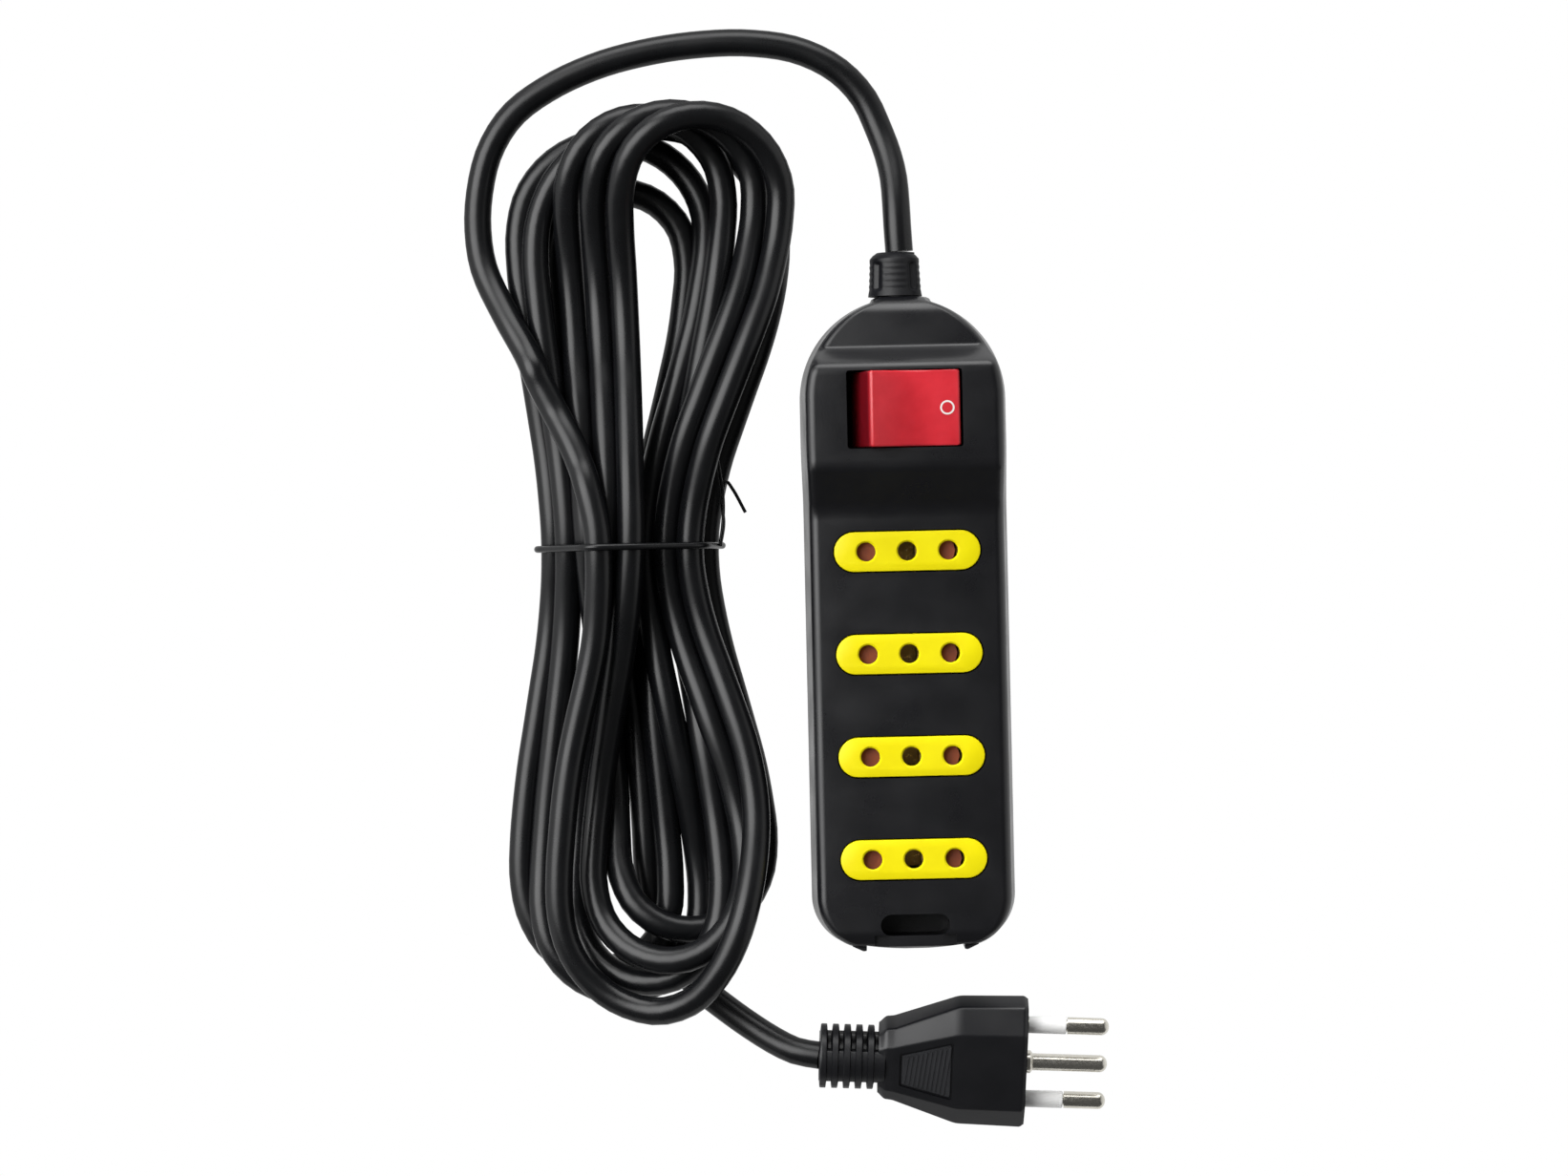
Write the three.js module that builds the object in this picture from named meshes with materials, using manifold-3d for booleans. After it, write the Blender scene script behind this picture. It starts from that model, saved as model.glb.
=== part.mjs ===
// Four-way extension cord with an illuminated rocker switch, three round holes in a line
// per outlet, a coiled and tied flexible lead and a moulded three-pin plug.
//
// Millimetres, +Z up. The strip lies along Y with its cord at +Y. The origin is under the
// middle of the strip's case, on the surface that it stands on.

import * as THREE from 'three';
import { mergeVertices } from 'three/addons/utils/BufferGeometryUtils.js';
import Module from 'manifold-3d';

const wasm = await Module();
wasm.setup();

// ---------------------------------------------------------------- driving dimensions

const GAP = 0.3;                      // clearance between pieces that meet

// case
const CASE_LENGTH = 151;
const CASE_WIDTH = 46.6;              // along the outlets
const SWITCH_BLOCK_WIDTH = 48;        // round the switch, which is also the nose's diameter
const DECK_HEIGHT = 26.5;             // the flat that holds the outlets
const HUMP_HEIGHT = 33;               // the raised block that holds the switch
const PARTING_HEIGHT = 12;            // where the two shells meet
const WALL = 2.2;
const TAIL_CORNER_RADIUS = 12;
const SLOT = { width: 16, length: 5, y: -70 };        // hanging recess, through the top shell only
const CASE_END = CASE_LENGTH / 2;
const NOSE_RADIUS = SWITCH_BLOCK_WIDTH / 2;
const NOSE_CENTRE_Y = CASE_END - NOSE_RADIUS;

// outlets
const OUTLET_COUNT = 4;
const OUTLET_PITCH = 23.7;
const FIRST_OUTLET_Y = 16.3;
const PIN_SPACING = 9.5;
const PIN_HOLE_RADIUS = 2.4;
const INSERT = { length: 33.8, width: 9.2, top: 26.7, plate: 2.2, skirt: 1.2, bottom: 16 };
const SHUTTER_TRAVEL = 4.4;
const SHUTTER = { bottom: 22.2, top: 24.2, halfWidth: 3.1 };
const CARRIER_TOP = 21.9;

// switch
const SWITCH_Y = 49;
const ROCKER_PIVOT_Z = 23.5;
const ROCKER_TILT = THREE.MathUtils.degToRad(12);     // either side of level
const ROCKER_WIDTH = 17.4;
const SWITCH_OPENING = { x: 26.6, y: 18 };
const LEVER_PIVOT_Z = 14.6;
const LEVER_TILT = ROCKER_TILT / 2;

// cord
const CORD_RADIUS = 3.25;
const REST_Z = CORD_RADIUS + 0.1;     // of the cord's centre line on the surface
const CORD_AXIS_Z = 12;               // where it leaves the case
const BOOT_MOUTH_Y = 86;
const SHEATH_END_Y = 60.2;
// radii of the boot's parts, and where along the cord its sleeve, flange and mouth begin
const BOOT = {
  outer: 6.1, neck: 4.9, flange: 6.6, sleeve: 4.6, lip: 4.2, sleeveY: 62, flangeY: 70.2, lipY: 84.4,
};
const CLAMP = { halfWidth: 10.6, from: 62.8, to: 67.2, top: 15.2, wall: 2.2 };
const WIRE_RADIUS = 1.1;
const HANK_HEIGHT = 28;
const WAIST = { x: -63.4, y: 18.7, halfWidth: 19, bottom: 2.6, top: 19.6, halfLength: 1.8 };
const TIE = { radius: 1, band: 2, tail: 0.6 };

// screws: radii of head and shank, length, and the height of the case screws' seat
const CASE_SCREW = { head: 2.6, shank: 1.4, length: 16, seat: 2.4 };
const CLAMP_SCREW = { head: 2.2, shank: 1.2, length: 9 };
const BOSS_RADIUS = 3;
const CLAMP_BOSS_RADIUS = 2.4;

// plug
const PLUG_FACE = new THREE.Vector3(25.4, -103.5, 10.1);
const PLUG_HEADING = THREE.MathUtils.degToRad(-3);
const PLUG_ROLL = THREE.MathUtils.degToRad(20);
const PIN_RADIUS = 2;
const PIN_LENGTH = 19;
const PIN_NECK_RADIUS = 1.4;          // of the live pins, inside their sleeves
const PIN_ROOT = -6;                  // where the pins start inside the plug
const PIN_TIP = [
  [PIN_RADIUS, PIN_LENGTH - 1.4], [1.5, PIN_LENGTH - 0.5], [0.8, PIN_LENGTH], [0, PIN_LENGTH],
];
const EARTH_COLLAR = 2.7;
const SLEEVE_END = 9;
const NECK_END = -48.3;
const COLLAR_START = -34.5;

// ---------------------------------------------------------------- materials

function finish(color, roughness, metalness = 0) {
  return new THREE.MeshStandardMaterial({ color, roughness, metalness });
}

const BLACK_PLASTIC = finish(0x1c1d20, 0.42);
const BLACK_PVC = finish(0x1a1b1e, 0.38);
const YELLOW_PLASTIC = finish(0xf5ee22, 0.4);
const RED_PLASTIC = finish(0xe0263a, 0.25);
const SHUTTER_PLASTIC = finish(0x8a3a26, 0.5);
const INNER_PLASTIC = finish(0x3a3b3d, 0.6);
const BRASS = finish(0xc9a14a, 0.35, 1);
const NICKEL = finish(0xc9c6ba, 0.25, 1);
const STEEL = finish(0x9a9c9f, 0.35, 1);
const WHITE_PLASTIC = finish(0xf0efea, 0.45);
const GLASS = finish(0xe8b48a, 0.1);
const BROWN_PVC = finish(0x5a3420, 0.5);
const BLUE_PVC = finish(0x2a6fc0, 0.5);
const GREEN_YELLOW_PVC = finish(0x8fae2a, 0.5);

// ---------------------------------------------------------------- solids

function solid(geometry) {
  const bare = geometry.index ? geometry.toNonIndexed() : geometry.clone();
  for (const name of Object.keys(bare.attributes)) {
    if (name !== 'position') bare.deleteAttribute(name);
  }
  const merged = mergeVertices(bare, 1e-4);
  const mesh = new wasm.Mesh({
    numProp: 3,
    vertProperties: new Float32Array(merged.attributes.position.array),
    triVerts: new Uint32Array(merged.index.array),
  });
  return new wasm.Manifold(mesh);
}

function toGeometry(manifold) {
  const mesh = manifold.getMesh();
  const geometry = new THREE.BufferGeometry();
  geometry.setAttribute('position', new THREE.BufferAttribute(mesh.vertProperties, 3));
  geometry.setIndex(new THREE.BufferAttribute(mesh.triVerts, 1));
  geometry.computeVertexNormals();
  return geometry;
}

function box(x0, x1, y0, y1, z0, z1) {
  const geometry = new THREE.BoxGeometry(x1 - x0, y1 - y0, z1 - z0);
  return solid(geometry.translate((x0 + x1) / 2, (y0 + y1) / 2, (z0 + z1) / 2));
}

function cylinderZ(radius, x, y, z0, z1, sides = 24) {
  const geometry = new THREE.CylinderGeometry(radius, radius, z1 - z0, sides);
  return solid(geometry.rotateX(Math.PI / 2).translate(x, y, (z0 + z1) / 2));
}

function cylinderY(radius, x, z, y0, y1, sides = 24) {
  const geometry = new THREE.CylinderGeometry(radius, radius, y1 - y0, sides);
  return solid(geometry.translate(x, (y0 + y1) / 2, z));
}

// A profile of [radius, height] pairs, turned about Z and closed on the axis or on itself.
function latheZ(profile, sides = 24) {
  const points = profile.map(([radius, height]) => new THREE.Vector2(radius, height));
  return solid(new THREE.LatheGeometry(points, sides).rotateX(Math.PI / 2));
}

function shapeOf(points) {
  return new THREE.Shape(points.map(([x, y]) => new THREE.Vector2(x, y)));
}

// An outline in X and Y, raised from z0 to z1.
function prismZ(points, z0, z1) {
  const geometry = new THREE.ExtrudeGeometry(shapeOf(points), { depth: z1 - z0, bevelEnabled: false });
  return solid(geometry.translate(0, 0, z0));
}

// An outline in X and Z, drawn out from y0 to y1.
function prismY(points, y0, y1) {
  const geometry = new THREE.ExtrudeGeometry(shapeOf(points), { depth: y1 - y0, bevelEnabled: false });
  return solid(geometry.rotateX(Math.PI / 2).translate(0, y1, 0));
}

// A slot shape with round ends, its long side along X.
function stadium(length, width, segments = 6) {
  const radius = width / 2;
  const points = [];
  for (const side of [1, -1]) {
    for (let i = 0; i <= segments; i += 1) {
      const angle = side * (-Math.PI / 2) + (i / segments) * Math.PI;
      const centre = side * (length / 2 - radius);
      points.push([centre + radius * Math.cos(angle), radius * Math.sin(angle)]);
    }
  }
  return points;
}

function movedBy(points, dx, dy) {
  return points.map(([x, y]) => [x + dx, y + dy]);
}

// Skins rings of 3-D points, all with the same count, and caps both ends.
function loft(rings) {
  const count = rings[0].length;
  const positions = rings.flat(2);
  const index = [];
  for (let r = 0; r + 1 < rings.length; r += 1) {
    for (let i = 0; i < count; i += 1) {
      const a = r * count + i;
      const b = r * count + ((i + 1) % count);
      index.push(a, b, b + count, a, b + count, a + count);
    }
  }
  const last = (rings.length - 1) * count;
  for (let i = 1; i + 1 < count; i += 1) {
    index.push(0, i + 1, i);
    index.push(last, last + i, last + i + 1);
  }
  const geometry = new THREE.BufferGeometry();
  geometry.setAttribute('position', new THREE.Float32BufferAttribute(positions, 3));
  geometry.setIndex(index);
  return solid(geometry);
}

function circleShape(radius, sides) {
  const points = [];
  for (let i = 0; i < sides; i += 1) {
    const angle = (i / sides) * Math.PI * 2;
    points.push([radius * Math.cos(angle), radius * Math.sin(angle)]);
  }
  return shapeOf(points);
}

function tube(points, radius, steps, sides = 8) {
  const path = new THREE.CatmullRomCurve3(points.map((p) => new THREE.Vector3(...p)), false, 'centripetal');
  const options = { steps, bevelEnabled: false, extrudePath: path };
  return solid(new THREE.ExtrudeGeometry(circleShape(radius, sides), options));
}

// ---------------------------------------------------------------- the assembly

const cordSet = new THREE.Group();

function put(parent, name, manifold, material) {
  const mesh = new THREE.Mesh(toGeometry(manifold), material);
  mesh.name = name;
  parent.add(mesh);
  return mesh;
}

// ---------------------------------------------------------------- case shape

// Height of the case along its length, as [y, z] from nose to tail.
const ROOF_LINE = [
  [75.5, 18.5], [75, 20.2], [74, 21.6], [72.5, 22.6], [71, 23], [63.4, 24], [60.2, 31.4], [59.2, 32.6],
  [57.8, HUMP_HEIGHT],
  [36.6, HUMP_HEIGHT], [35, 32.7], [33.8, 31.8], [27.4, 27.4], [26, 26.8], [24.5, DECK_HEIGHT],
  [-72, DECK_HEIGHT], [-74.4, 25.6], [-75.5, 24],
];

function roofHeight(y) {
  for (let i = 0; i + 1 < ROOF_LINE.length; i += 1) {
    const [y0, z0] = ROOF_LINE[i];
    const [y1, z1] = ROOF_LINE[i + 1];
    if (y <= y0 && y >= y1) return z0 + ((y0 - y) / (y0 - y1)) * (z1 - z0);
  }
  return y > CASE_END ? ROOF_LINE[0][1] : ROOF_LINE.at(-1)[1];
}

// Half the width of the case seen from above: a round nose, a slightly slimmer outlet
// section and two round corners at the tail.
function halfWidth(y) {
  if (y > NOSE_CENTRE_Y) {
    const reach = y - NOSE_CENTRE_Y;
    return Math.max(7, Math.sqrt(Math.max(0, NOSE_RADIUS ** 2 - reach ** 2)));
  }
  const slim = CASE_WIDTH / 2;
  const taper = THREE.MathUtils.smoothstep(y, 26, 42);
  const straight = slim + (NOSE_RADIUS - slim) * taper;
  const cornerY = -CASE_END + TAIL_CORNER_RADIUS;
  if (y >= cornerY) return straight;
  const drop = cornerY - y;
  const flat = slim - TAIL_CORNER_RADIUS;
  return flat + Math.sqrt(Math.max(0, TAIL_CORNER_RADIUS ** 2 - drop ** 2));
}

function caseSection(y, halfW, bottom, top, edge) {
  const draft = 1.2;
  const side = [];
  side.push([halfW - draft - edge * 0.5, bottom]);
  side.push([halfW - draft, bottom + edge * 0.5]);
  side.push([halfW, PARTING_HEIGHT]);
  for (const turn of [0, 30, 60, 90]) {
    const angle = THREE.MathUtils.degToRad(turn);
    side.push([halfW - draft - edge + edge * Math.cos(angle), top - edge + edge * Math.sin(angle)]);
  }
  const other = side.map(([x, z]) => [-x, z]).reverse();
  return [...side, ...other].map(([x, z]) => [x, y, z]);
}

const NOSE_STATIONS = [75.5, 75, 74, 72.5, 71, 68.5, 66, 63.4, 61.8, 60.2, 59.2, 57.8, 55, NOSE_CENTRE_Y];
const HUMP_STATIONS = [45, 42, 36.6, 35, 33.8, 30.6, 27.4, 26, 24.5];
const TAIL_STATIONS = [-CASE_END + TAIL_CORNER_RADIUS, -66, -68.5, -70.5, -72, -73.4, -74.4, -75.1, -75.5];
const CASE_STATIONS = [...NOSE_STATIONS, ...HUMP_STATIONS, ...TAIL_STATIONS];

function caseOutside() {
  return loft(CASE_STATIONS.map((y) => caseSection(y, halfWidth(y), 0, roofHeight(y), 2)));
}

function caseInside() {
  const front = CASE_END - WALL;
  const back = SLOT.y + SLOT.length / 2 + WALL;
  const stations = [front, ...CASE_STATIONS.filter((y) => y < front - 0.2 && y > back + 0.2), back];
  const lowest = (y) => Math.min(roofHeight(y - WALL), roofHeight(y), roofHeight(y + WALL));
  const narrowest = (y) => Math.min(halfWidth(y), halfWidth(y + WALL)) - WALL;
  return loft(stations.map((y) => caseSection(y, Math.max(5, narrowest(y)), WALL, lowest(y) - WALL, 1)));
}

const OUTLET_YS = Array.from({ length: OUTLET_COUNT }, (_, i) => FIRST_OUTLET_Y - i * OUTLET_PITCH);

const CASE_SCREWS = [[14, 64], [-14, 64], [17.6, 4.45], [-17.6, 4.45], [15.4, -67.6], [-15.4, -67.6]];
const CLAMP_SCREWS = [[8, 65], [-8, 65]];

function topShell(outside, inside) {
  let shell = outside.intersect(box(-40, 40, -90, 90, PARTING_HEIGHT + GAP / 2, 60)).subtract(inside);
  for (const [x, y] of CASE_SCREWS) {
    const roof = roofHeight(y) - WALL / 2;
    const bossBottom = PARTING_HEIGHT + GAP;
    const pilotTop = CASE_SCREW.seat + CASE_SCREW.length + 1;
    shell = shell.add(cylinderZ(BOSS_RADIUS, x, y, bossBottom, roof, 12).intersect(outside));
    shell = shell.subtract(cylinderZ(CASE_SCREW.shank + GAP, x, y, 0, pilotTop, 10));
  }
  for (const y of OUTLET_YS) {
    const hole = stadium(INSERT.length + 2 * GAP, INSERT.width + 2 * GAP);
    shell = shell.subtract(prismZ(movedBy(hole, 0, y), PARTING_HEIGHT + 1, 60));
  }
  const { x: openX, y: openY } = SWITCH_OPENING;
  shell = shell.subtract(box(-openX / 2, openX / 2, SWITCH_Y - openY / 2, SWITCH_Y + openY / 2, 26, 60));
  const recess = movedBy(stadium(SLOT.width, SLOT.length, 4), 0, SLOT.y);
  return cutCordExit(shell.subtract(prismZ(recess, 0, 60)));
}

function bottomShell(outside, inside) {
  let shell = outside.intersect(box(-40, 40, -90, 90, -1, PARTING_HEIGHT - GAP / 2)).subtract(inside);
  for (const [x, y] of CASE_SCREWS) {
    const boss = cylinderZ(BOSS_RADIUS, x, y, WALL / 2, PARTING_HEIGHT - GAP, 12);
    shell = shell.add(boss.intersect(outside));
    shell = shell.subtract(cylinderZ(CASE_SCREW.head + GAP, x, y, -1, CASE_SCREW.seat + GAP, 12));
    shell = shell.subtract(cylinderZ(CASE_SCREW.shank + GAP, x, y, 0, 40, 10));
  }
  for (const [x, y] of CLAMP_SCREWS) {
    shell = shell.add(cylinderZ(CLAMP_BOSS_RADIUS, x, y, WALL / 2, PARTING_HEIGHT - GAP, 12));
    shell = shell.subtract(cylinderZ(CLAMP_SCREW.shank + GAP, x, y, WALL + 1.8, 40, 10));
  }
  return cutCordExit(shell);
}

// The hole that the cord's boot sits in, and the pocket for its flange.
function cutCordExit(shell) {
  const bootHole = cylinderY(BOOT.neck + GAP, 0, CORD_AXIS_Z, 60, 90, 20);
  const flangePocket = cylinderY(BOOT.flange + GAP, 0, CORD_AXIS_Z, 66, CASE_END - WALL, 20);
  return shell.subtract(bootHole).subtract(flangePocket);
}

// ---------------------------------------------------------------- cord boot and clamp

// Turned about the cord's axis: mouth outside, groove in the case wall, flange and sleeve inside.
function cordBoot() {
  const bore = CORD_RADIUS + GAP;
  const face = CASE_END + GAP;
  const wallInside = CASE_END - WALL - GAP;
  const profile = [
    [bore, BOOT.sleeveY], [BOOT.sleeve, BOOT.sleeveY], [BOOT.sleeve, BOOT.flangeY - 0.6],
    [BOOT.flange, BOOT.flangeY], [BOOT.flange, wallInside],
    [BOOT.neck, wallInside], [BOOT.neck, face], [BOOT.outer, face], [BOOT.outer, BOOT.lipY],
    [BOOT.lip, BOOT_MOUTH_Y], [bore, BOOT_MOUTH_Y], [bore, BOOT.sleeveY],
  ];
  const points = profile.map(([radius, y]) => new THREE.Vector2(radius, y));
  return solid(new THREE.LatheGeometry(points, 20).translate(0, 0, CORD_AXIS_Z));
}

function cordClamp() {
  const { halfWidth: half, from, to, top } = CLAMP;
  let clamp = box(-half, half, from, to, PARTING_HEIGHT + GAP, top);
  clamp = clamp.add(cylinderY(BOOT.sleeve + CLAMP.wall, 0, CORD_AXIS_Z, from, to, 20));
  clamp = clamp.intersect(box(-20, 20, 60, 70, PARTING_HEIGHT + GAP, 30));
  clamp = clamp.subtract(cylinderY(BOOT.sleeve + GAP, 0, CORD_AXIS_Z, 60, 70, 20));
  for (const [x, y] of CLAMP_SCREWS) {
    clamp = clamp.subtract(cylinderZ(CLAMP_SCREW.shank + GAP, x, y, 0, 30, 12));
  }
  return clamp;
}

// A pan-head screw with a cross slot, its head's seat at height 0 and its point along -Z.
function screw({ head: headRadius, shank: shankRadius, length }) {
  const headHeight = 1.7;
  const profile = [
    [0, -length], [shankRadius, -length + 1.5], [shankRadius, 0],
    [headRadius, 0], [headRadius, headHeight - 0.6], [headRadius - 0.7, headHeight], [0, headHeight],
  ];
  const arm = headRadius * 0.6;
  const cross = box(-arm, arm, -0.35, 0.35, headHeight - 0.9, headHeight + 1)
    .add(box(-0.35, 0.35, -arm, arm, headHeight - 0.9, headHeight + 1));
  return latheZ(profile, 10).subtract(cross);
}

function addCase(root) {
  const outside = caseOutside();
  const inside = caseInside();
  put(root, 'top_shell', topShell(outside, inside), BLACK_PLASTIC);
  put(root, 'bottom_shell', bottomShell(outside, inside), BLACK_PLASTIC);
  CASE_SCREWS.forEach(([x, y], i) => {
    const upright = put(root, `case_screw_${i + 1}`, screw(CASE_SCREW), STEEL);
    upright.position.set(x, y, CASE_SCREW.seat);
    upright.rotation.x = Math.PI;
  });
}

function addCordEntry(root) {
  put(root, 'cord_boot', cordBoot(), BLACK_PVC);
  put(root, 'cord_clamp', cordClamp(), INNER_PLASTIC);
  CLAMP_SCREWS.forEach(([x, y], i) => {
    const piece = put(root, `clamp_screw_${i + 1}`, screw(CLAMP_SCREW), STEEL);
    piece.position.set(x, y, CLAMP.top + GAP);
  });
  const sheath = cylinderY(CORD_RADIUS, 0, CORD_AXIS_Z, SHEATH_END_Y, BOOT_MOUTH_Y - GAP, 12);
  put(root, 'cord_sheath_end', sheath, BLACK_PVC);
}

// ---------------------------------------------------------------- outlets

const POLE_XS = [-PIN_SPACING, 0, PIN_SPACING];

function socketInsert(y) {
  const { length, width, top, plate, skirt, bottom } = INSERT;
  let insert = prismZ(stadium(length, width), bottom, top);
  const hollow = stadium(length - 2 * skirt, width - 2 * skirt);
  insert = insert.subtract(prismZ(hollow, bottom - 1, top - plate));
  for (const x of POLE_XS) {
    insert = insert.subtract(cylinderZ(PIN_HOLE_RADIUS, x, 0, top - plate - 1, top + 1, 20));
  }
  return insert.translate(0, y, 0);
}

// Blocks both live holes at rest and clears them once it has moved by its travel along +X.
function shutter(y) {
  const { bottom, top, halfWidth: half } = SHUTTER;
  const leftEnd = -11.9;
  const rightEnd = 11.1;
  const plate = stadium(rightEnd - leftEnd, 2 * half, 6);
  const window = [-PIN_SPACING + PIN_HOLE_RADIUS + GAP, PIN_SPACING - PIN_HOLE_RADIUS];
  const body = prismZ(movedBy(plate, (leftEnd + rightEnd) / 2, 0), bottom, top);
  return body.subtract(box(...window, -half + 0.7, half - 0.7, bottom - 1, top + 1)).translate(0, y, 0);
}

// A folded leaf that draws the shutter back: slanted bars joined at their ends.
function shutterSpring(y) {
  const thickness = 0.35;
  const reach = 1.7;
  const folds = 3;
  const start = -14.9;
  const pitch = 0.72;
  const [low, high] = [22.6, 23.8];
  let spring = box(start - 0.1, start + thickness + 0.1, -reach - 0.3, -reach + 0.3, low, high);
  for (let i = 0; i < folds; i += 1) {
    const from = start + i * pitch;
    const to = from + pitch;
    const side = i % 2 ? -1 : 1;
    const bar = [
      [from, -reach * side], [from + thickness, -reach * side],
      [to + thickness, reach * side], [to, reach * side],
    ];
    spring = spring.add(prismZ(bar, low, high));
    const end = [reach * side - 0.3, reach * side + 0.3];
    spring = spring.add(box(to - 0.1, to + thickness + 0.1, ...end, low, high));
  }
  return spring.translate(0, y, 0);
}

// One insulating tray under all the outlets, with a well round each contact.
function contactCarrier() {
  let carrier = box(-14.2, 14.2, -61, 24.6, WALL + GAP, 4.2);
  const clear = INSERT.skirt + GAP;
  for (const y of OUTLET_YS) {
    const block = stadium(INSERT.length - 2 * clear, INSERT.width - 2 * clear);
    carrier = carrier.add(prismZ(movedBy(block, 0, y), 4, CARRIER_TOP));
  }
  for (const x of POLE_XS) {
    carrier = carrier.subtract(box(x - 2.6, x + 2.6, -80, 40, 4.3, 6));
    for (const y of OUTLET_YS) {
      carrier = carrier.subtract(box(x - 3.1, x + 3.1, y - 2.5, y + 2.5, 4.3, 40));
    }
  }
  return carrier;
}

// A strip along the tray with a pair of upright leaves at each outlet.
function busbar(x) {
  const leafInside = 1.9;
  const leafOutside = 2.4;
  let bar = box(x - leafOutside + 0.1, x + leafOutside - 0.1, OUTLET_YS.at(-1) - 3, 28, 4.6, 5.4);
  for (const y of OUTLET_YS) {
    for (const side of [-1, 1]) {
      const edges = [x + side * leafInside, x + side * leafOutside].sort((a, b) => a - b);
      bar = bar.add(box(...edges, y - 2.2, y + 2.2, 5, 20));
    }
  }
  return bar;
}

function addOutlets(root) {
  OUTLET_YS.forEach((y, i) => {
    put(root, `socket_insert_${i + 1}`, socketInsert(y), YELLOW_PLASTIC);
    put(root, `shutter_${i + 1}`, shutter(y), SHUTTER_PLASTIC);
    put(root, `shutter_spring_${i + 1}`, shutterSpring(y), STEEL);
  });
  put(root, 'contact_carrier', contactCarrier(), INNER_PLASTIC);
  put(root, 'line_busbar', busbar(-PIN_SPACING), BRASS);
  put(root, 'earth_busbar', busbar(0), BRASS);
  put(root, 'neutral_busbar', busbar(PIN_SPACING), BRASS);
}

// ---------------------------------------------------------------- switch

// Drawn level about its pivot, in X and Z; the left end rests up.
const ROCKER_OUTLINE = [[-12.4, 0], [-3, -3], [3, -3], [12.4, 0], [10.7, 12], [0, 10.2], [-10.7, 12]];
const ROCKER_HOLLOW = [[-10.8, -5], [10.8, -5], [9.2, 10.1], [0, 8.4], [-9.2, 10.1]];
const ROCKER_STEM_LENGTH = 7.7;

function rocker() {
  const half = ROCKER_WIDTH / 2;
  let cap = prismY(ROCKER_OUTLINE, -half, half);
  cap = cap.subtract(prismY(ROCKER_HOLLOW, -half + 1.5, half - 1.5));
  cap = cap.add(box(-1.5, 1.5, -3, 3, -ROCKER_STEM_LENGTH, 9));
  return cap.add(cylinderY(1.5, 0, 0, -half - 1.4, half + 1.4, 16));
}

// A shallow V that seesaws on the middle terminal.
function contactLever() {
  const reach = 8;
  const rise = reach * Math.tan(LEVER_TILT);
  const thickness = 0.8;
  const outline = [
    [0, 0], [reach, rise], [reach, rise + thickness],
    [0, thickness], [-reach, rise + thickness], [-reach, rise],
  ];
  return prismY(outline, -2.5, 2.5);
}

// [x, top height, name] of the blades that pass through the switch's floor.
const TERMINALS = [
  [0, 14.2, 'terminal_in'],
  [7, 14.1, 'terminal_out'],
  [-10.4, 12, 'terminal_neutral'],
];

// A box that hangs under the hump. Its lower half stops short of the nose, to leave room for
// the wires.
function switchBody() {
  const halfX = 15;
  const halfY = 10.4;
  const wall = 1.4;
  const [floor, step, rim] = [8.6, 15.8, 25.5];
  const lowerEnd = 6;
  let body = box(-halfX, halfX, -halfY, halfY, step, rim);
  body = body.add(box(-halfX, halfX, -halfY, lowerEnd, floor, step + 1));
  body = body.subtract(box(-halfX + wall, halfX - wall, -halfY + wall, halfY - wall, step + wall, 40));
  body = body.subtract(box(-halfX + wall, halfX - wall, -halfY + wall, lowerEnd - wall, floor + wall, 40));
  for (const side of [-1, 1]) {
    const edges = [side * (halfX - wall), side * halfX].sort((a, b) => a - b);
    body = body.add(box(...edges, -4, 4, rim - 1, HUMP_HEIGHT - WALL - GAP));
  }
  body = body.subtract(cylinderY(1.5 + GAP, 0, ROCKER_PIVOT_Z, -20, 20, 16));
  for (const [x] of TERMINALS) {
    body = body.subtract(box(x - 0.4 - GAP, x + 0.4 + GAP, -2.5 - GAP, 2.5 + GAP, 0, floor + 4));
  }
  return body.translate(0, SWITCH_Y, 0);
}

function neonLamp() {
  const profile = [[0, -5], [0.9, -4.7], [1.5, -3.8], [1.5, 3.8], [0.9, 4.7], [0, 5]];
  const points = profile.map(([radius, y]) => new THREE.Vector2(radius, y));
  return solid(new THREE.LatheGeometry(points, 12).translate(5.6, 0, 6));
}

function addSwitch(root) {
  put(root, 'switch_body', switchBody(), INNER_PLASTIC);
  const rockerGroup = new THREE.Group();
  rockerGroup.position.set(0, SWITCH_Y, ROCKER_PIVOT_Z);
  rockerGroup.rotation.y = ROCKER_TILT;
  root.add(rockerGroup);
  put(rockerGroup, 'rocker', rocker(), RED_PLASTIC);
  put(rockerGroup, 'neon_lamp', neonLamp(), GLASS);
  const lever = put(root, 'contact_lever', contactLever(), BRASS);
  lever.position.set(0, SWITCH_Y, LEVER_PIVOT_Z);
  lever.rotation.y = -LEVER_TILT;
  for (const [x, top, name] of TERMINALS) {
    put(root, name, box(x - 0.4, x + 0.4, SWITCH_Y - 2.5, SWITCH_Y + 2.5, 5.4, top), BRASS);
  }
}

// ---------------------------------------------------------------- inner wires

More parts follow.
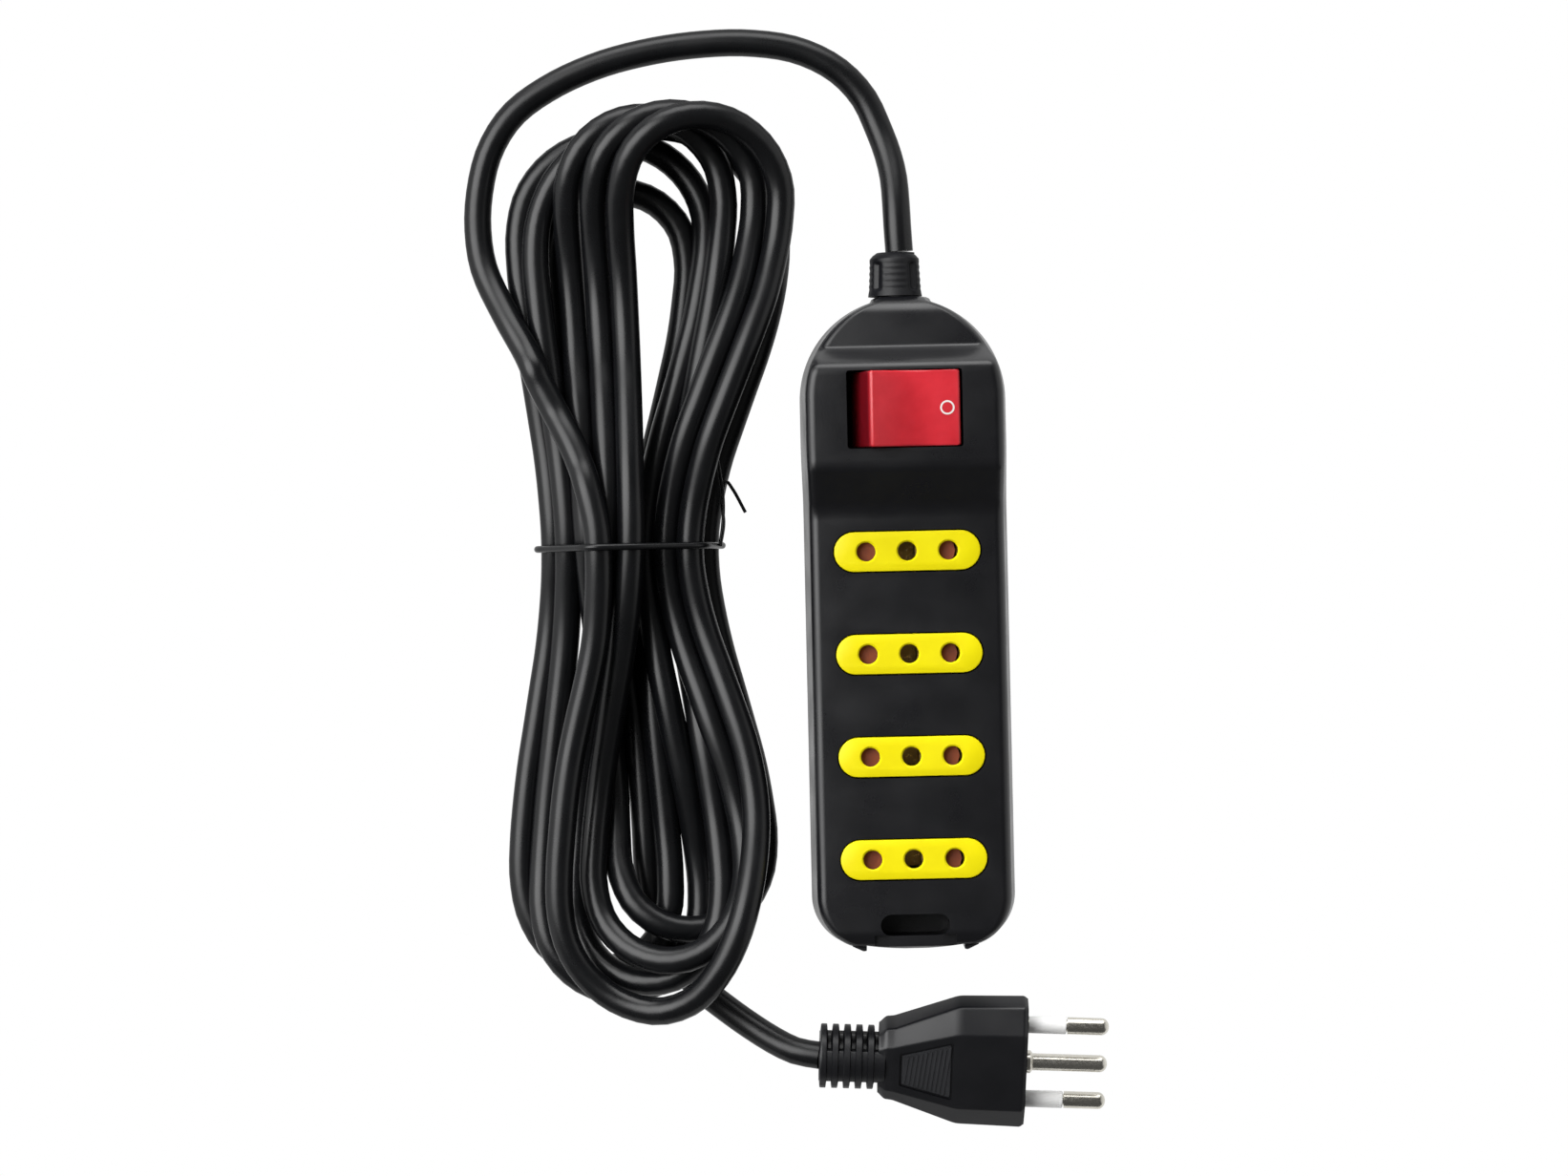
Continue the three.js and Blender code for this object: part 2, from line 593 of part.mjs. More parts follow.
// Each starts at the end of the cord's sheath and ends beside its terminal or busbar.
const WIRES = [
  ['wire_line', BROWN_PVC, [
    [-1.5, 59.2, 12.8], [-1.8, 57.6, 11.4], [-2, 56.6, 8.6],
    [-1.9, 55, 6.4], [-1.7, 52, 5.9], [-1.6, 48, 5.9]]],
  ['wire_neutral', BLUE_PVC, [
    [1.6, 59.2, 12.8], [2.6, 57.6, 11], [4, 56.4, 7.6], [7, 53, 4.6],
    [11.6, 46, 3.8], [12, 36, 5], [9.5, 29.8, 7.2]]],
  ['wire_earth', GREEN_YELLOW_PVC, [
    [0, 59.2, 10], [0.3, 57.8, 8.6], [0.9, 56.2, 5.6], [2, 53, 3.8],
    [3, 46, 3.8], [2, 36, 5], [0, 29.8, 7.2]]],
  ['wire_switched_line', BROWN_PVC, [
    [8.7, 49, 7], [8, 44, 6.8], [4, 38.6, 7.2], [-4, 34.6, 7.4], [-9.5, 29.8, 7.2]]],
];

function addWires(root) {
  for (const [name, material, route] of WIRES) {
    put(root, name, tube(route, WIRE_RADIUS, 12, 8), material);
  }
}

// ---------------------------------------------------------------- free cord

// From the boot: straight out, down to the surface, over to the left and on to the hank.
const STRIP_LEAD_ROUTE = [
  [0, BOOT_MOUTH_Y + GAP, CORD_AXIS_Z], [-0.3, 92, 11.8], [-0.5, 98, 10.4], [-0.9, 104, 8.2], [-2, 109.5, 6],
  [-4, 115.5, 4.2], [-7.4, 123.2, 3.6], [-13.4, 129.8, REST_Z], [-22.6, 134.6, REST_Z],
  [-34, 136.6, REST_Z], [-46, 136.5, REST_Z], [-58, 135, REST_Z], [-70, 132, REST_Z],
  [-81.4, 127, REST_Z], [-90, 120.8, REST_Z], [-95.4, 112.6, REST_Z], [-98, 103, REST_Z],
  [-98.6, 94, REST_Z], [-97.2, 84.6, REST_Z], [-92, 73.2, REST_Z], [-86, 62, REST_Z],
];

// From under the hank to the plug's neck.
const PLUG_LEAD_ROUTE = [
  [-60, -70.6, REST_Z], [-56, -78.4, REST_Z], [-50.6, -84.8, REST_Z], [-44.6, -89.8, REST_Z + 0.3],
  [-38.6, -94.2, 4.7], [-32.8, -97.8, 7], [-28, -99.8, 9], [-23.7, -100.9, 10],
];

// The hank seen from above, from its top down the right side and up the left.
const HANK_OUTLINE = [
  [-52, 122], [-35, 119.4], [-26.4, 110], [-24.5, 97], [-27, 76], [-34, 53], [-39, 35], [-42.4, 18.7],
  [-40.6, -2], [-35.6, -20], [-32.2, -40], [-33, -56], [-38, -70], [-45.5, -84.6], [-53, -90], [-63, -92],
  [-75, -88.6], [-84.6, -79], [-91, -67], [-94, -53], [-93, -36], [-89.6, -15], [-85.4, 5], [-84.4, 18.7],
  [-86.2, 40], [-90, 60], [-91.9, 80], [-91.6, 94], [-88, 103.4], [-81, 111.6], [-69, 119.6],
];

function hankBlank() {
  const bevel = 3;
  const curve = new THREE.CatmullRomCurve3(HANK_OUTLINE.map(([x, y]) => new THREE.Vector3(x, y, 0)), true);
  const outline = curve.getPoints(54).slice(0, -1).reverse().map((p) => [p.x, p.y]);
  const options = {
    depth: HANK_HEIGHT - 2 * bevel, bevelEnabled: true, bevelThickness: bevel, bevelSize: bevel,
    bevelOffset: -bevel, bevelSegments: 1,
  };
  return solid(new THREE.ExtrudeGeometry(shapeOf(outline), options).translate(0, 0, bevel));
}

// The bundle is drawn in where the tie passes, all the way round.
function cordHank() {
  const { x, y, halfWidth: half, bottom, top, halfLength } = WAIST;
  const slab = box(-120, 0, y - halfLength, y + halfLength, -1, 40);
  const kept = prismY(roundedRectangle(x - half, x + half, bottom, top, 3), y - halfLength, y + halfLength);
  return hankBlank().subtract(slab.subtract(kept)).subtract(tieTail(TIE.tail + GAP));
}

// The tie's end, which runs up beside the bundle and hooks back.
function tieTail(radius) {
  const route = [
    [-42.9, 18.7, 11.4], [-41.6, 23.5, 11.6], [-41.2, 29.6, 11.2], [-40.2, 33.4, 10.6], [-38.4, 31.6, 10],
    [-36, 26.4, 9],
  ];
  return tube(route, radius, 14, 8);
}

function wireTie() {
  const { x, y, halfWidth: half, bottom, top } = WAIST;
  const thickness = 2 * TIE.radius;
  const inner = roundedRectangle(x - half - GAP, x + half + GAP, bottom - GAP, top + GAP, 3);
  const reach = GAP + thickness;
  const outer = roundedRectangle(x - half - reach, x + half + reach, bottom - reach, top + reach, 5);
  const ring = prismY(outer, y - TIE.band / 2, y + TIE.band / 2)
    .subtract(prismY(inner, y - TIE.band, y + TIE.band));
  return ring.add(tieTail(TIE.tail));
}

function roundedRectangle(x0, x1, z0, z1, radius) {
  const corners = [[x1, z1, 0], [x0, z1, 90], [x0, z0, 180], [x1, z0, 270]];
  const points = [];
  for (const [x, z, start] of corners) {
    const cx = x + (x === x1 ? -radius : radius);
    const cz = z + (z === z1 ? -radius : radius);
    for (const turn of [0, 30, 60, 90]) {
      const angle = THREE.MathUtils.degToRad(start + turn);
      points.push([cx + radius * Math.cos(angle), cz + radius * Math.sin(angle)]);
    }
  }
  return points;
}

function addCord(root) {
  const blank = hankBlank();
  const sideways = blank.translate(-GAP, 0, 0).add(blank.translate(GAP, 0, 0));
  const keepOff = sideways.add(blank.translate(0, -GAP, 0));
  put(root, 'cord_strip_side', tube(STRIP_LEAD_ROUTE, CORD_RADIUS, 32, 8).subtract(keepOff), BLACK_PVC);
  put(root, 'cord_hank', cordHank(), BLACK_PVC);
  put(root, 'cord_plug_side', tube(PLUG_LEAD_ROUTE, CORD_RADIUS, 8, 8).subtract(keepOff), BLACK_PVC);
  put(root, 'wire_tie', wireTie(), BLACK_PVC);
}

// ---------------------------------------------------------------- plug

// Drawn with its face at x = 0, its pins along +X and its width along Y.
// [x, half width, half width of the flat, half thickness, half thickness at the sides]
const PLUG_STATIONS = [
  [COLLAR_START, 7.4, 4.6, 6, 3.6], [COLLAR_START + 1.6, 9, 5.4, 6.6, 4], [-31, 9.2, 5.6, 6.8, 4],
  [-16, 15, 9.4, 7, 3.6], [-0.8, 15.4, 9.6, 7, 3.6], [0, 14.8, 9.2, 6.4, 3.2],
];
const PLUG_POCKET = { depth: 8, halfWidth: 13, halfHeight: 3.2 };

function plugSection([x, half, flat, thick, side]) {
  const outline = [
    [half, -side], [half, side], [flat, thick], [-flat, thick],
    [-half, side], [-half, -side], [-flat, -thick], [flat, -thick],
  ];
  return outline.map(([y, z]) => [x, y, z]);
}

function plugNeck() {
  const rings = 5;
  const ring = 7.5;
  const groove = 5.9;
  const pitch = (COLLAR_START - NECK_END) / rings;
  const profile = [[0, NECK_END]];
  for (let i = 0; i < rings; i += 1) {
    const start = NECK_END + i * pitch;
    profile.push([ring - 0.6, start], [ring, start + 0.5], [ring, start + pitch * 0.5]);
    profile.push([groove, start + pitch * 0.62], [groove, start + pitch * 0.96]);
  }
  profile.push([groove, COLLAR_START + 1], [0, COLLAR_START + 1]);
  const points = profile.map(([radius, x]) => new THREE.Vector2(radius, x));
  return solid(new THREE.LatheGeometry(points, 16).rotateZ(-Math.PI / 2));
}

function cylinderX(radius, y, x0, x1, sides = 16) {
  const geometry = new THREE.CylinderGeometry(radius, radius, x1 - x0, sides);
  return solid(geometry.rotateZ(-Math.PI / 2).translate((x0 + x1) / 2, y, 0));
}

function plugBody() {
  const { depth, halfWidth: half, halfHeight } = PLUG_POCKET;
  const pocket = box(-depth, 5, -half, half, -halfHeight, halfHeight);
  return loft(PLUG_STATIONS.map(plugSection)).add(plugNeck()).subtract(pocket);
}

function plugBridge() {
  const { depth, halfWidth: half, halfHeight } = PLUG_POCKET;
  let bridge = box(-depth + GAP, 0, -half + GAP, half - GAP, -halfHeight + GAP, halfHeight - GAP);
  for (const y of POLE_XS) {
    bridge = bridge.subtract(cylinderX(y ? PIN_NECK_RADIUS + GAP : PIN_RADIUS + GAP, y, -depth + 1.5, 5));
  }
  return bridge;
}

function pinProfile(profile, y) {
  const points = profile.map(([radius, x]) => new THREE.Vector2(radius, x));
  return solid(new THREE.LatheGeometry(points, 16).rotateZ(-Math.PI / 2).translate(0, y, 0));
}

function livePin(y) {
  return pinProfile([
    [0, PIN_ROOT], [PIN_NECK_RADIUS, PIN_ROOT], [PIN_NECK_RADIUS, SLEEVE_END + GAP],
    [PIN_RADIUS, SLEEVE_END + GAP], ...PIN_TIP,
  ], y);
}

function earthPin() {
  return pinProfile([
    [0, PIN_ROOT], [PIN_RADIUS, PIN_ROOT], [PIN_RADIUS, GAP], [EARTH_COLLAR, GAP], [EARTH_COLLAR, 1.3],
    [PIN_RADIUS, 1.6], ...PIN_TIP,
  ], 0);
}

function pinSleeve(y) {
  const inside = PIN_NECK_RADIUS + GAP;
  return pinProfile([
    [inside, GAP], [PIN_RADIUS, GAP], [PIN_RADIUS, SLEEVE_END], [inside, SLEEVE_END], [inside, GAP],
  ], y);
}

function addPlug(root) {
  const heading = new THREE.Group();
  heading.position.copy(PLUG_FACE);
  heading.rotation.z = PLUG_HEADING;
  const plug = new THREE.Group();
  plug.rotation.x = PLUG_ROLL;
  heading.add(plug);
  root.add(heading);
  put(plug, 'plug_body', plugBody(), BLACK_PVC);
  put(plug, 'plug_bridge', plugBridge(), INNER_PLASTIC);
  put(plug, 'pin_line', livePin(-PIN_SPACING), NICKEL);
  put(plug, 'pin_neutral', livePin(PIN_SPACING), NICKEL);
  put(plug, 'pin_earth', earthPin(), NICKEL);
  put(plug, 'sleeve_line', pinSleeve(-PIN_SPACING), WHITE_PLASTIC);
  put(plug, 'sleeve_neutral', pinSleeve(PIN_SPACING), WHITE_PLASTIC);
}

const extensionCord = new THREE.Group();
addCase(extensionCord);
addCordEntry(extensionCord);
addOutlets(extensionCord);
addSwitch(extensionCord);
addWires(extensionCord);
addCord(cordSet);
addPlug(cordSet);
extensionCord.add(cordSet);

export default extensionCord;
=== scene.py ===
"""Looks of a four-way extension cord: its case, outlets, rocker, plug and tied cord.

Lengths are in millimetres in this file and become metres where a mesh or curve is made.
"""

import math

import bmesh
import bpy
import numpy as np
from mathutils import Matrix, Vector


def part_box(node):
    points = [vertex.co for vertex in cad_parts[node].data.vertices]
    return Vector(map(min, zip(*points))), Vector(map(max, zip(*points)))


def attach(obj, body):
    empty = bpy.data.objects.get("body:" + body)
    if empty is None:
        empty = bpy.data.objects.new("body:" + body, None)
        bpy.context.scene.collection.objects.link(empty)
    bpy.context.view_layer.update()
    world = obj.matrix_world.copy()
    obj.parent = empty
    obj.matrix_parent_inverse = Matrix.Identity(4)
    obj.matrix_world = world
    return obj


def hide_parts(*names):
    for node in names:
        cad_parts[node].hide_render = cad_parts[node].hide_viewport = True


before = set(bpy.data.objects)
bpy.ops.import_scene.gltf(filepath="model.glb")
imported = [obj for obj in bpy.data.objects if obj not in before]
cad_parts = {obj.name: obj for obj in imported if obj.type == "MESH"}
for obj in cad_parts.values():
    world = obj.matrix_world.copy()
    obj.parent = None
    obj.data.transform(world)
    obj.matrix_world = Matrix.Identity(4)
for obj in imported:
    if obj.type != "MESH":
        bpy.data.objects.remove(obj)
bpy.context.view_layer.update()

MM = 0.001


def corners(node):
    """The lowest and highest corner of a CAD node, in millimetres."""
    low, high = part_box(node)
    return low / MM, high / MM


# ---------------------------------------------------------------- driving dimensions

# camera: straight down, turned a little about the vertical
CAMERA_OVER = (-28.6, 8.4)
CAMERA_HEIGHT = 1250
CAMERA_TURN = math.radians(-1.27)
VIEW_WIDTH = 364.9          # what the picture's width spans at the height below
VIEW_PLANE = 15

# light: how bright the surround is, and its glows
AMBIENT = 0.1
# direction, angle within which it is full, angle beyond which it is gone, strength
GLOWS = [
    ((-0.63, 0.28, 0.72), 8, 36, 5.4),
    ((0, 1, 0.12), 12, 42, 4.5),
    ((-1, 0.1, 0.1), 10, 45, 1.0),
    ((1, 0.1, 0.1), 10, 45, 0.7),
]

# cord
CORD_RADIUS = 3.25
REST_Z = CORD_RADIUS + 0.1
BOOT_MOUTH = (0, 86.3, 12)
CORD_STEP = 3               # between the points of the settled cord
LOOSEST_HUMP = 45           # the least radius at which the cord bends up or down
SETTLE_STEPS = 200

# From the boot: straight out, down to the surface, over to the left and on to the hank.
STRIP_LEAD_ROUTE = [
    (0, 86.3, 12), (-0.3, 92, 11.8), (-0.5, 98, 10.4), (-0.9, 104, 8.2), (-2, 109.5, 6),
    (-4, 115.5, 4.2), (-7.4, 123.2, 3.6), (-13.4, 129.8, REST_Z), (-22.6, 134.6, REST_Z),
    (-34, 136.6, REST_Z), (-46, 136.5, REST_Z), (-58, 135, REST_Z), (-70, 132, REST_Z),
    (-81.4, 127, REST_Z), (-90, 120.8, REST_Z), (-95.4, 112.6, REST_Z), (-98, 103, REST_Z),
    (-98.6, 94, REST_Z), (-97.2, 84.6, REST_Z), (-92, 73.2, REST_Z), (-86, 62, REST_Z),
]
# From under the hank to the plug's neck.
PLUG_LEAD_ROUTE = [
    (-60, -70.6, REST_Z), (-56, -78.4, REST_Z), (-50.6, -84.8, REST_Z), (-44.6, -89.8, REST_Z + 0.3),
    (-38.6, -94.2, 4.7), (-32.8, -97.8, 7), (-28, -100, 9), (-22.6, -101, 10.1),
]

# tie
TIE_Y = 18.7
TIE_WIRE = 1.6

# The hank's turns, from the strip's end of the cord to the plug's. Each goes round the bottom,
# up the right, over the top and down the left. For its low and its high loop: the x of the left
# and the right leg, and the y of the furthest point. A low loop's halves differ in how deep they
# are for their width.
TURNS = [
    {"low": (-82.2, -36.2, -88.9), "deep": (1.1, 2.0), "high": (-64.6, -27.3, 118.2)},
    {"low": (-74.4, -38.7, -77.2), "deep": (1.0, 1.2), "high": (-70.8, -33.4, 119.2)},
    {"low": (-78.8, -44.4, -82.6), "deep": (1.0, 1.2), "high": (-77.2, -40.8, 118.8)},
    {"low": (-68.6, -34.5, -70.8), "deep": (1.0, 1.12), "high": (-84.9, -28.6, 117.2)},
    {"low": (-86.6, -49.6, -85.0), "deep": (1.05, 1.1), "high": (-89.0, -45.0, 114.2)},
    {"low": (-91.4, -56.8, -80.2), "deep": (1.3, 1.0), "high": (-82.2, -49.6, 102.4)},
]
# the x at the tie of each turn's leg up and leg down
UP_AT_TIE = [-50.2, -55.8, -53.2, -46.9, -60.6, -61.6]
DOWN_AT_TIE = [-63.8, -69.0, -73.8, -78.6, -82.0, -76.2]
LEAD_OVER_HANK = [
    (-87.7, 65.3), (-84.4, 57.7), (-80.5, 49.8), (-76.7, 42.2), (-74, 34.3), (-71.9, 26.7),
    (-71.2, TIE_Y), (-71.5, 6.5), (-73, -6), (-76, -18), (-79, -31), (-80.9, -44),
]
LAST_PASS = [(-69.9, 4), (-65.2, -14), (-63.2, -32), (-62.4, -48), (-62, -60)]
LEVEL_STEP = 15             # how far each turn starts above the one under it
HANK_RIGHT = -30            # the hank lies to the left of this, at the tie

# case
CASE_LOW, CASE_HIGH = corners("bottom_shell")
CASE_END = CASE_HIGH.y
DECK_HEIGHT = 26.5
PARTING_HEIGHT = 12
GAP = 0.3
WALL = 2.2
CASE_HALF = 23.7
WIDENS = (26, 42)           # where along the case it widens to the nose
NOSE_RADIUS = 24
NOSE_FLAT = 7
TAIL_RADIUS = 12
TAIL_BAR_HALF = 11.3        # half the width of the bar between the tail's two corner points
SLOT_SIZE = (16, 5)
SLOT_Y = -70
SLOT_BAR_HALF = 9.4
UPPER_EDGE = 2.3            # how round the case's upper edges are
# height of the case along its length, as [y, z] from nose to tail
ROOF_LINE = [
    (75.5, 18.5), (75, 20.2), (74, 21.6), (72.5, 22.6), (71, 23), (63.4, 24), (60.2, 31.4),
    (59.2, 32.6), (57.8, 33), (36.6, 33), (35, 32.7), (33.8, 31.8), (27.4, 27.4), (26, 26.8),
    (24.5, DECK_HEIGHT), (-72, DECK_HEIGHT), (-74.4, 25.6), (-75.5, 24),
]
BEYOND = 60                 # a height above everything, for cuts that go right through
CASE_SCREWS = [(14, 64), (-14, 64), (17.6, 4.45), (-17.6, 4.45), (15.4, -67.6), (-15.4, -67.6)]

# outlets
INSERTS = [f"socket_insert_{i}" for i in range(1, 5)]
PIN_SPACING = 9.5
PIN_HOLE_RADIUS = 2.2

# switch
SWITCH_Y = 49
ROCKER_PIVOT_Z = 23.5
ROCKER_TILT = math.radians(12)
ROCKER_WIDTH = 17.4
SWITCH_OPENING = (26.6, 18)
# about the pivot, in x and z, level
ROCKER_FOOT = [(-12.4, 0), (-3, -3), (3, -3), (12.4, 0)]
ROCKER_EDGE = (10.7, 12)
ROCKER_DIP = 10.2
FACE_CURVE = 1.5            # the power with which the hollow face rises towards its edges
ROCKER_HOLLOW = [(-10.8, -5), (10.8, -5), (9.2, 10.1), (0, 8.4), (-9.2, 10.1)]
END_SHADE_SPAN = (-8.6, -7.6)     # where along the rocker the painted shade on its raised end fades out

# boot, as [y, radius]: the part held in the case, and the part that shows
BOOT_HELD = [
    (62, 4.4), (62.2, 4.6), (69.6, 4.6), (70.2, 6.6), (CASE_END - WALL - GAP, 6.6),
    (CASE_END - WALL - GAP + 0.01, 4.9), (CASE_END + GAP, 4.9), (CASE_END + GAP + 0.01, 5.9),
]
BOOT_SHOWN = [(75.8, 6.3), (77, 6.1), (84.5, 5.75), (85.3, 5.1), (86, 4.1)]
BOOT_SHIFT = -1.2           # the part that shows stands a little to one side of the cord

# plug
PLUG_FACE = (25.4, -103.5, 10.1)
PLUG_HEADING = math.radians(-3)
PLUG_ROLL = math.radians(20)
PIN_RADIUS = 2
PIN_LENGTH = 19
PIN_ROOT = -6               # how deep the pins reach into the plug
SLEEVE_END = 9
SLEEVE_BORE = 1.7
NECK_END = -48.3
NECK_RADIUS = 5.1
NECK_RINGS = 5
COLLAR_START = -34.5
# [x, half width, half width of the flat, half thickness, half thickness at the sides]
PLUG_STATIONS = [
    (COLLAR_START, 7.4, 4.6, 6, 3.6), (COLLAR_START + 1.6, 9, 5.4, 6.6, 4), (-31, 9.2, 5.6, 6.8, 4),
    (-16, 15, 9.4, 7, 3.6), (-0.8, 15.4, 9.6, 7, 3.6), (0, 14.8, 9.2, 6.4, 3.2),
]
GRIP_OUTLINE = [(-29.6, -4.0), (-17.2, -7.4), (-17.2, 7.4), (-29.6, 4.0)]
GRIP_PLATE = [(-29.0, -3.6), (-17.7, -6.7), (-17.7, 6.7), (-29.0, 3.6)]
GRIP_FLOOR = 6.4            # how far the grip's floor is from the plug's middle plane


# ---------------------------------------------------------------- curves

def smooth_line(points, spacing):
    """Points that far apart along a centripetal Catmull-Rom curve through the given ones."""
    p = np.array(points, float)
    p = np.vstack([2 * p[0] - p[1], p, 2 * p[-1] - p[-2]])
    knots = np.concatenate([[0], np.cumsum(np.linalg.norm(np.diff(p, axis=0), axis=1) ** 0.5)])
    pieces = []
    for i in range(1, len(p) - 2):
        t0, t1, t2, t3 = knots[i - 1:i + 3]
        t = np.linspace(t1, t2, 24, endpoint=False)[:, None]
        a1 = between(t, t0, t1, p[i - 1], p[i])
        a2 = between(t, t1, t2, p[i], p[i + 1])
        a3 = between(t, t2, t3, p[i + 1], p[i + 2])
        b1 = between(t, t0, t2, a1, a2)
        b2 = between(t, t1, t3, a2, a3)
        pieces.append(between(t, t1, t2, b1, b2))
    return respaced(np.vstack(pieces + [p[-2:-1]]), spacing)


def between(t, t0, t1, first, second):
    """Goes straight from the first point to the second as t goes from t0 to t1."""
    return (t1 - t) / (t1 - t0) * first + (t - t0) / (t1 - t0) * second


def respaced(line, spacing):
    """The same line with its points evenly apart."""
    along = np.concatenate([[0], np.cumsum(np.linalg.norm(np.diff(line, axis=0), axis=1))])
    at = np.linspace(0, along[-1], max(3, int(round(along[-1] / spacing)) + 1))
    return np.stack([np.interp(at, along, line[:, k]) for k in range(line.shape[1])], axis=1)


# ---------------------------------------------------------------- the cord's route

def fold(first, second, furthest, side, deep=(1, 1)):
    """Half an oval that joins two legs, each side as deep for its width as deep says."""
    radius = abs(second - first) / 2
    middle = (first + second) / 2
    turn = np.radians(np.arange(0, 181, 22.5))
    depth = radius * np.where(turn < np.pi / 2, *deep)
    level = furthest - side * depth
    x = middle + (first - middle) * np.cos(turn)
    y = level + side * depth * np.sin(turn)
    return list(zip(x, y))


def half_leg(start, end, slope_start, slope_end):
    """Points between two places, leaving and arriving with those slopes of x along y."""
    (x0, y0), (x1, y1) = start, end
    long = y1 - y0
    points = []
    for t in (0.25, 0.5, 0.75):
        x = x0 * (2 * t ** 3 - 3 * t ** 2 + 1) + x1 * (3 * t ** 2 - 2 * t ** 3)
        x += long * (slope_start * (t ** 3 - 2 * t ** 2 + t) + slope_end * (t ** 3 - t ** 2))
        points.append((x, y0 + t * long))
    return points


def leg(start, end, at_tie):
    """The points between one fold's end and the next one's start, past the tie."""
    tie = (at_tie, TIE_Y)
    slope = 0.5 * (end[0] - start[0]) / (end[1] - start[1])
    return half_leg(start, tie, 0, slope) + [tie] + half_leg(tie, end, slope, 0)


def hank_route():
    """The hank seen from above, from where the lead crosses onto it to where the plug's leaves."""
    lows = [fold(*turn["low"], -1, turn["deep"]) for turn in TURNS]
    points = list(LEAD_OVER_HANK)
    for i, turn in enumerate(TURNS):
        left, right, top = turn["high"]
        high = fold(right, left, top, 1)
        points += lows[i] + leg(lows[i][-1], high[0], UP_AT_TIE[i]) + high
        if i + 1 < len(TURNS):
            points += leg(high[-1], lows[i + 1][0], DOWN_AT_TIE[i])
    tie = (DOWN_AT_TIE[-1], TIE_Y)
    return points + half_leg(high[-1], tie, 0, 0) + [tie] + LAST_PASS


def planned_route():
    """The whole cord before it settles, with each turn held above the one under it."""
    meets_hank = 70         # the lead's y where the hank takes over
    climb = 12              # over how many points the hank rises to its full height
    lead = [p for p in STRIP_LEAD_ROUTE if p[1] > meets_hank]
    flat = smooth_line(hank_route(), CORD_STEP)
    lifted = 1 - np.linspace(0, 1, len(flat))
    rise = np.minimum(1, np.linspace(0, len(flat) / climb, len(flat)))
    height = REST_Z + len(TURNS) * LEVEL_STEP * lifted * rise
    hank = np.column_stack([flat, height])[::3]
    return smooth_line(lead + hank.tolist() + PLUG_LEAD_ROUTE, CORD_STEP)


# ---------------------------------------------------------------- settling the cord

def crossings(line, width, apart):
    """Pairs of points that lie over each other, the upper one first, and how far apart they are."""
    order = np.arange(len(line))
    gap = np.linalg.norm(line[:, None, :2] - line[None, :, :2], axis=2)
    upper, lower = np.nonzero((gap < width) & (order[None, :] - order[:, None] > apart))
    return upper, lower, gap[upper, lower]


def spread_moves(z, index, moves):
    """Adds the mean of the moves asked of each point."""
    total = np.bincount(index, moves, len(z))
    count = np.bincount(index, minlength=len(z))
    z += total / np.maximum(1, count)


def bend_out(z):
    """Evens out sharp bends up and down, and rounds off humps and dips that are too tight."""
    bend = np.zeros(len(z))
    bend[2:-2] = z[:-4] - 4 * z[1:-3] + 6 * z[2:-2] - 4 * z[3:-1] + z[4:]
    z -= 0.05 * bend
    reach = 4
    hump = (reach * CORD_STEP) ** 2 / (2 * LOOSEST_HUMP)
    rise = z[reach:-reach] - (z[:-2 * reach] + z[2 * reach:]) / 2
    over = 0.2 * (rise - np.clip(rise, -hump, hump))
    z[reach:-reach] -= 2 * over
    z[:-2 * reach] += over
    z[2 * reach:] += over


def settle(line, steps):
    """Lets the cord down onto itself and the surface. The strip's end of it lies on top."""
    line = line.copy()
    z = line[:, 2].copy()
    start = z.copy()
    held = np.zeros(len(z), bool)
    held[:8] = True
    held[-7:] = True
    width = 2 * CORD_RADIUS
    upper, lower, gap = crossings(line, width, 6)
    clear = np.sqrt(width ** 2 - gap ** 2)
    near_tie = np.exp(-((line[:, 1] - TIE_Y) / 8) ** 2) * (line[:, 0] < HANK_RIGHT)
    floor = REST_Z + TIE_WIRE * near_tie
    for k in range(steps):
        z -= 0.5 if k < 0.6 * steps else 0.1
        for _ in range(6):
            bend_out(z)
            short = np.maximum(0, clear - (z[upper] - z[lower]))
            hit = short > 0
            spread_moves(z, upper[hit], 0.75 * short[hit])
            spread_moves(z, lower[hit], -0.25 * short[hit])
            z = np.maximum(z, floor)
            z[held] = start[held]
    for _ in range(6):
        z[1:-1] = (z[:-2] + 2 * z[1:-1] + z[2:]) / 4
        z = np.maximum(z, floor)
        z[held] = start[held]
    line[:, 2] = z
    return line


# ---------------------------------------------------------------- mesh making

def new_object(name, data):
    thing = bpy.data.objects.new(name, data)
    bpy.context.collection.objects.link(thing)
    return thing


def mesh_object(name, points, faces, sharp=35):
    """A mesh object from points in millimetres."""
    data = bpy.data.meshes.new(name)
    data.from_pydata([[float(v) * MM for v in p] for p in points], [], faces)
    tidy_normals(data, sharp)
    return new_object(name, data)


def tidy_normals(data, sharp=35):
    """Merges doubled points, turns the faces outwards and smooths them up to an angle."""
    work = bmesh.new()
    work.from_mesh(data)
    bmesh.ops.remove_doubles(work, verts=work.verts, dist=1e-7)
    bmesh.ops.recalc_face_normals(work, faces=work.faces)
    work.to_mesh(data)
    work.free()
    data.shade_smooth()
    data.set_sharp_from_angle(angle=math.radians(sharp))


def skin(rings, caps=True):
    """Points and faces of a tube through rings that all have the same count."""
    count = len(rings[0])
    points = [p for ring in rings for p in ring]
    faces = []
    for r in range(len(rings) - 1):
        for i in range(count):
            a = r * count + i
            b = r * count + (i + 1) % count
            faces.append((a, b, b + count, a + count))
    if caps:
        faces.append(tuple(range(count)))
        faces.append(tuple((len(rings) - 1) * count + i for i in range(count)))
    return points, faces


def full_turn(count):
    """That many angles evenly round a circle."""
    return np.linspace(0, 2 * math.pi, count, endpoint=False)


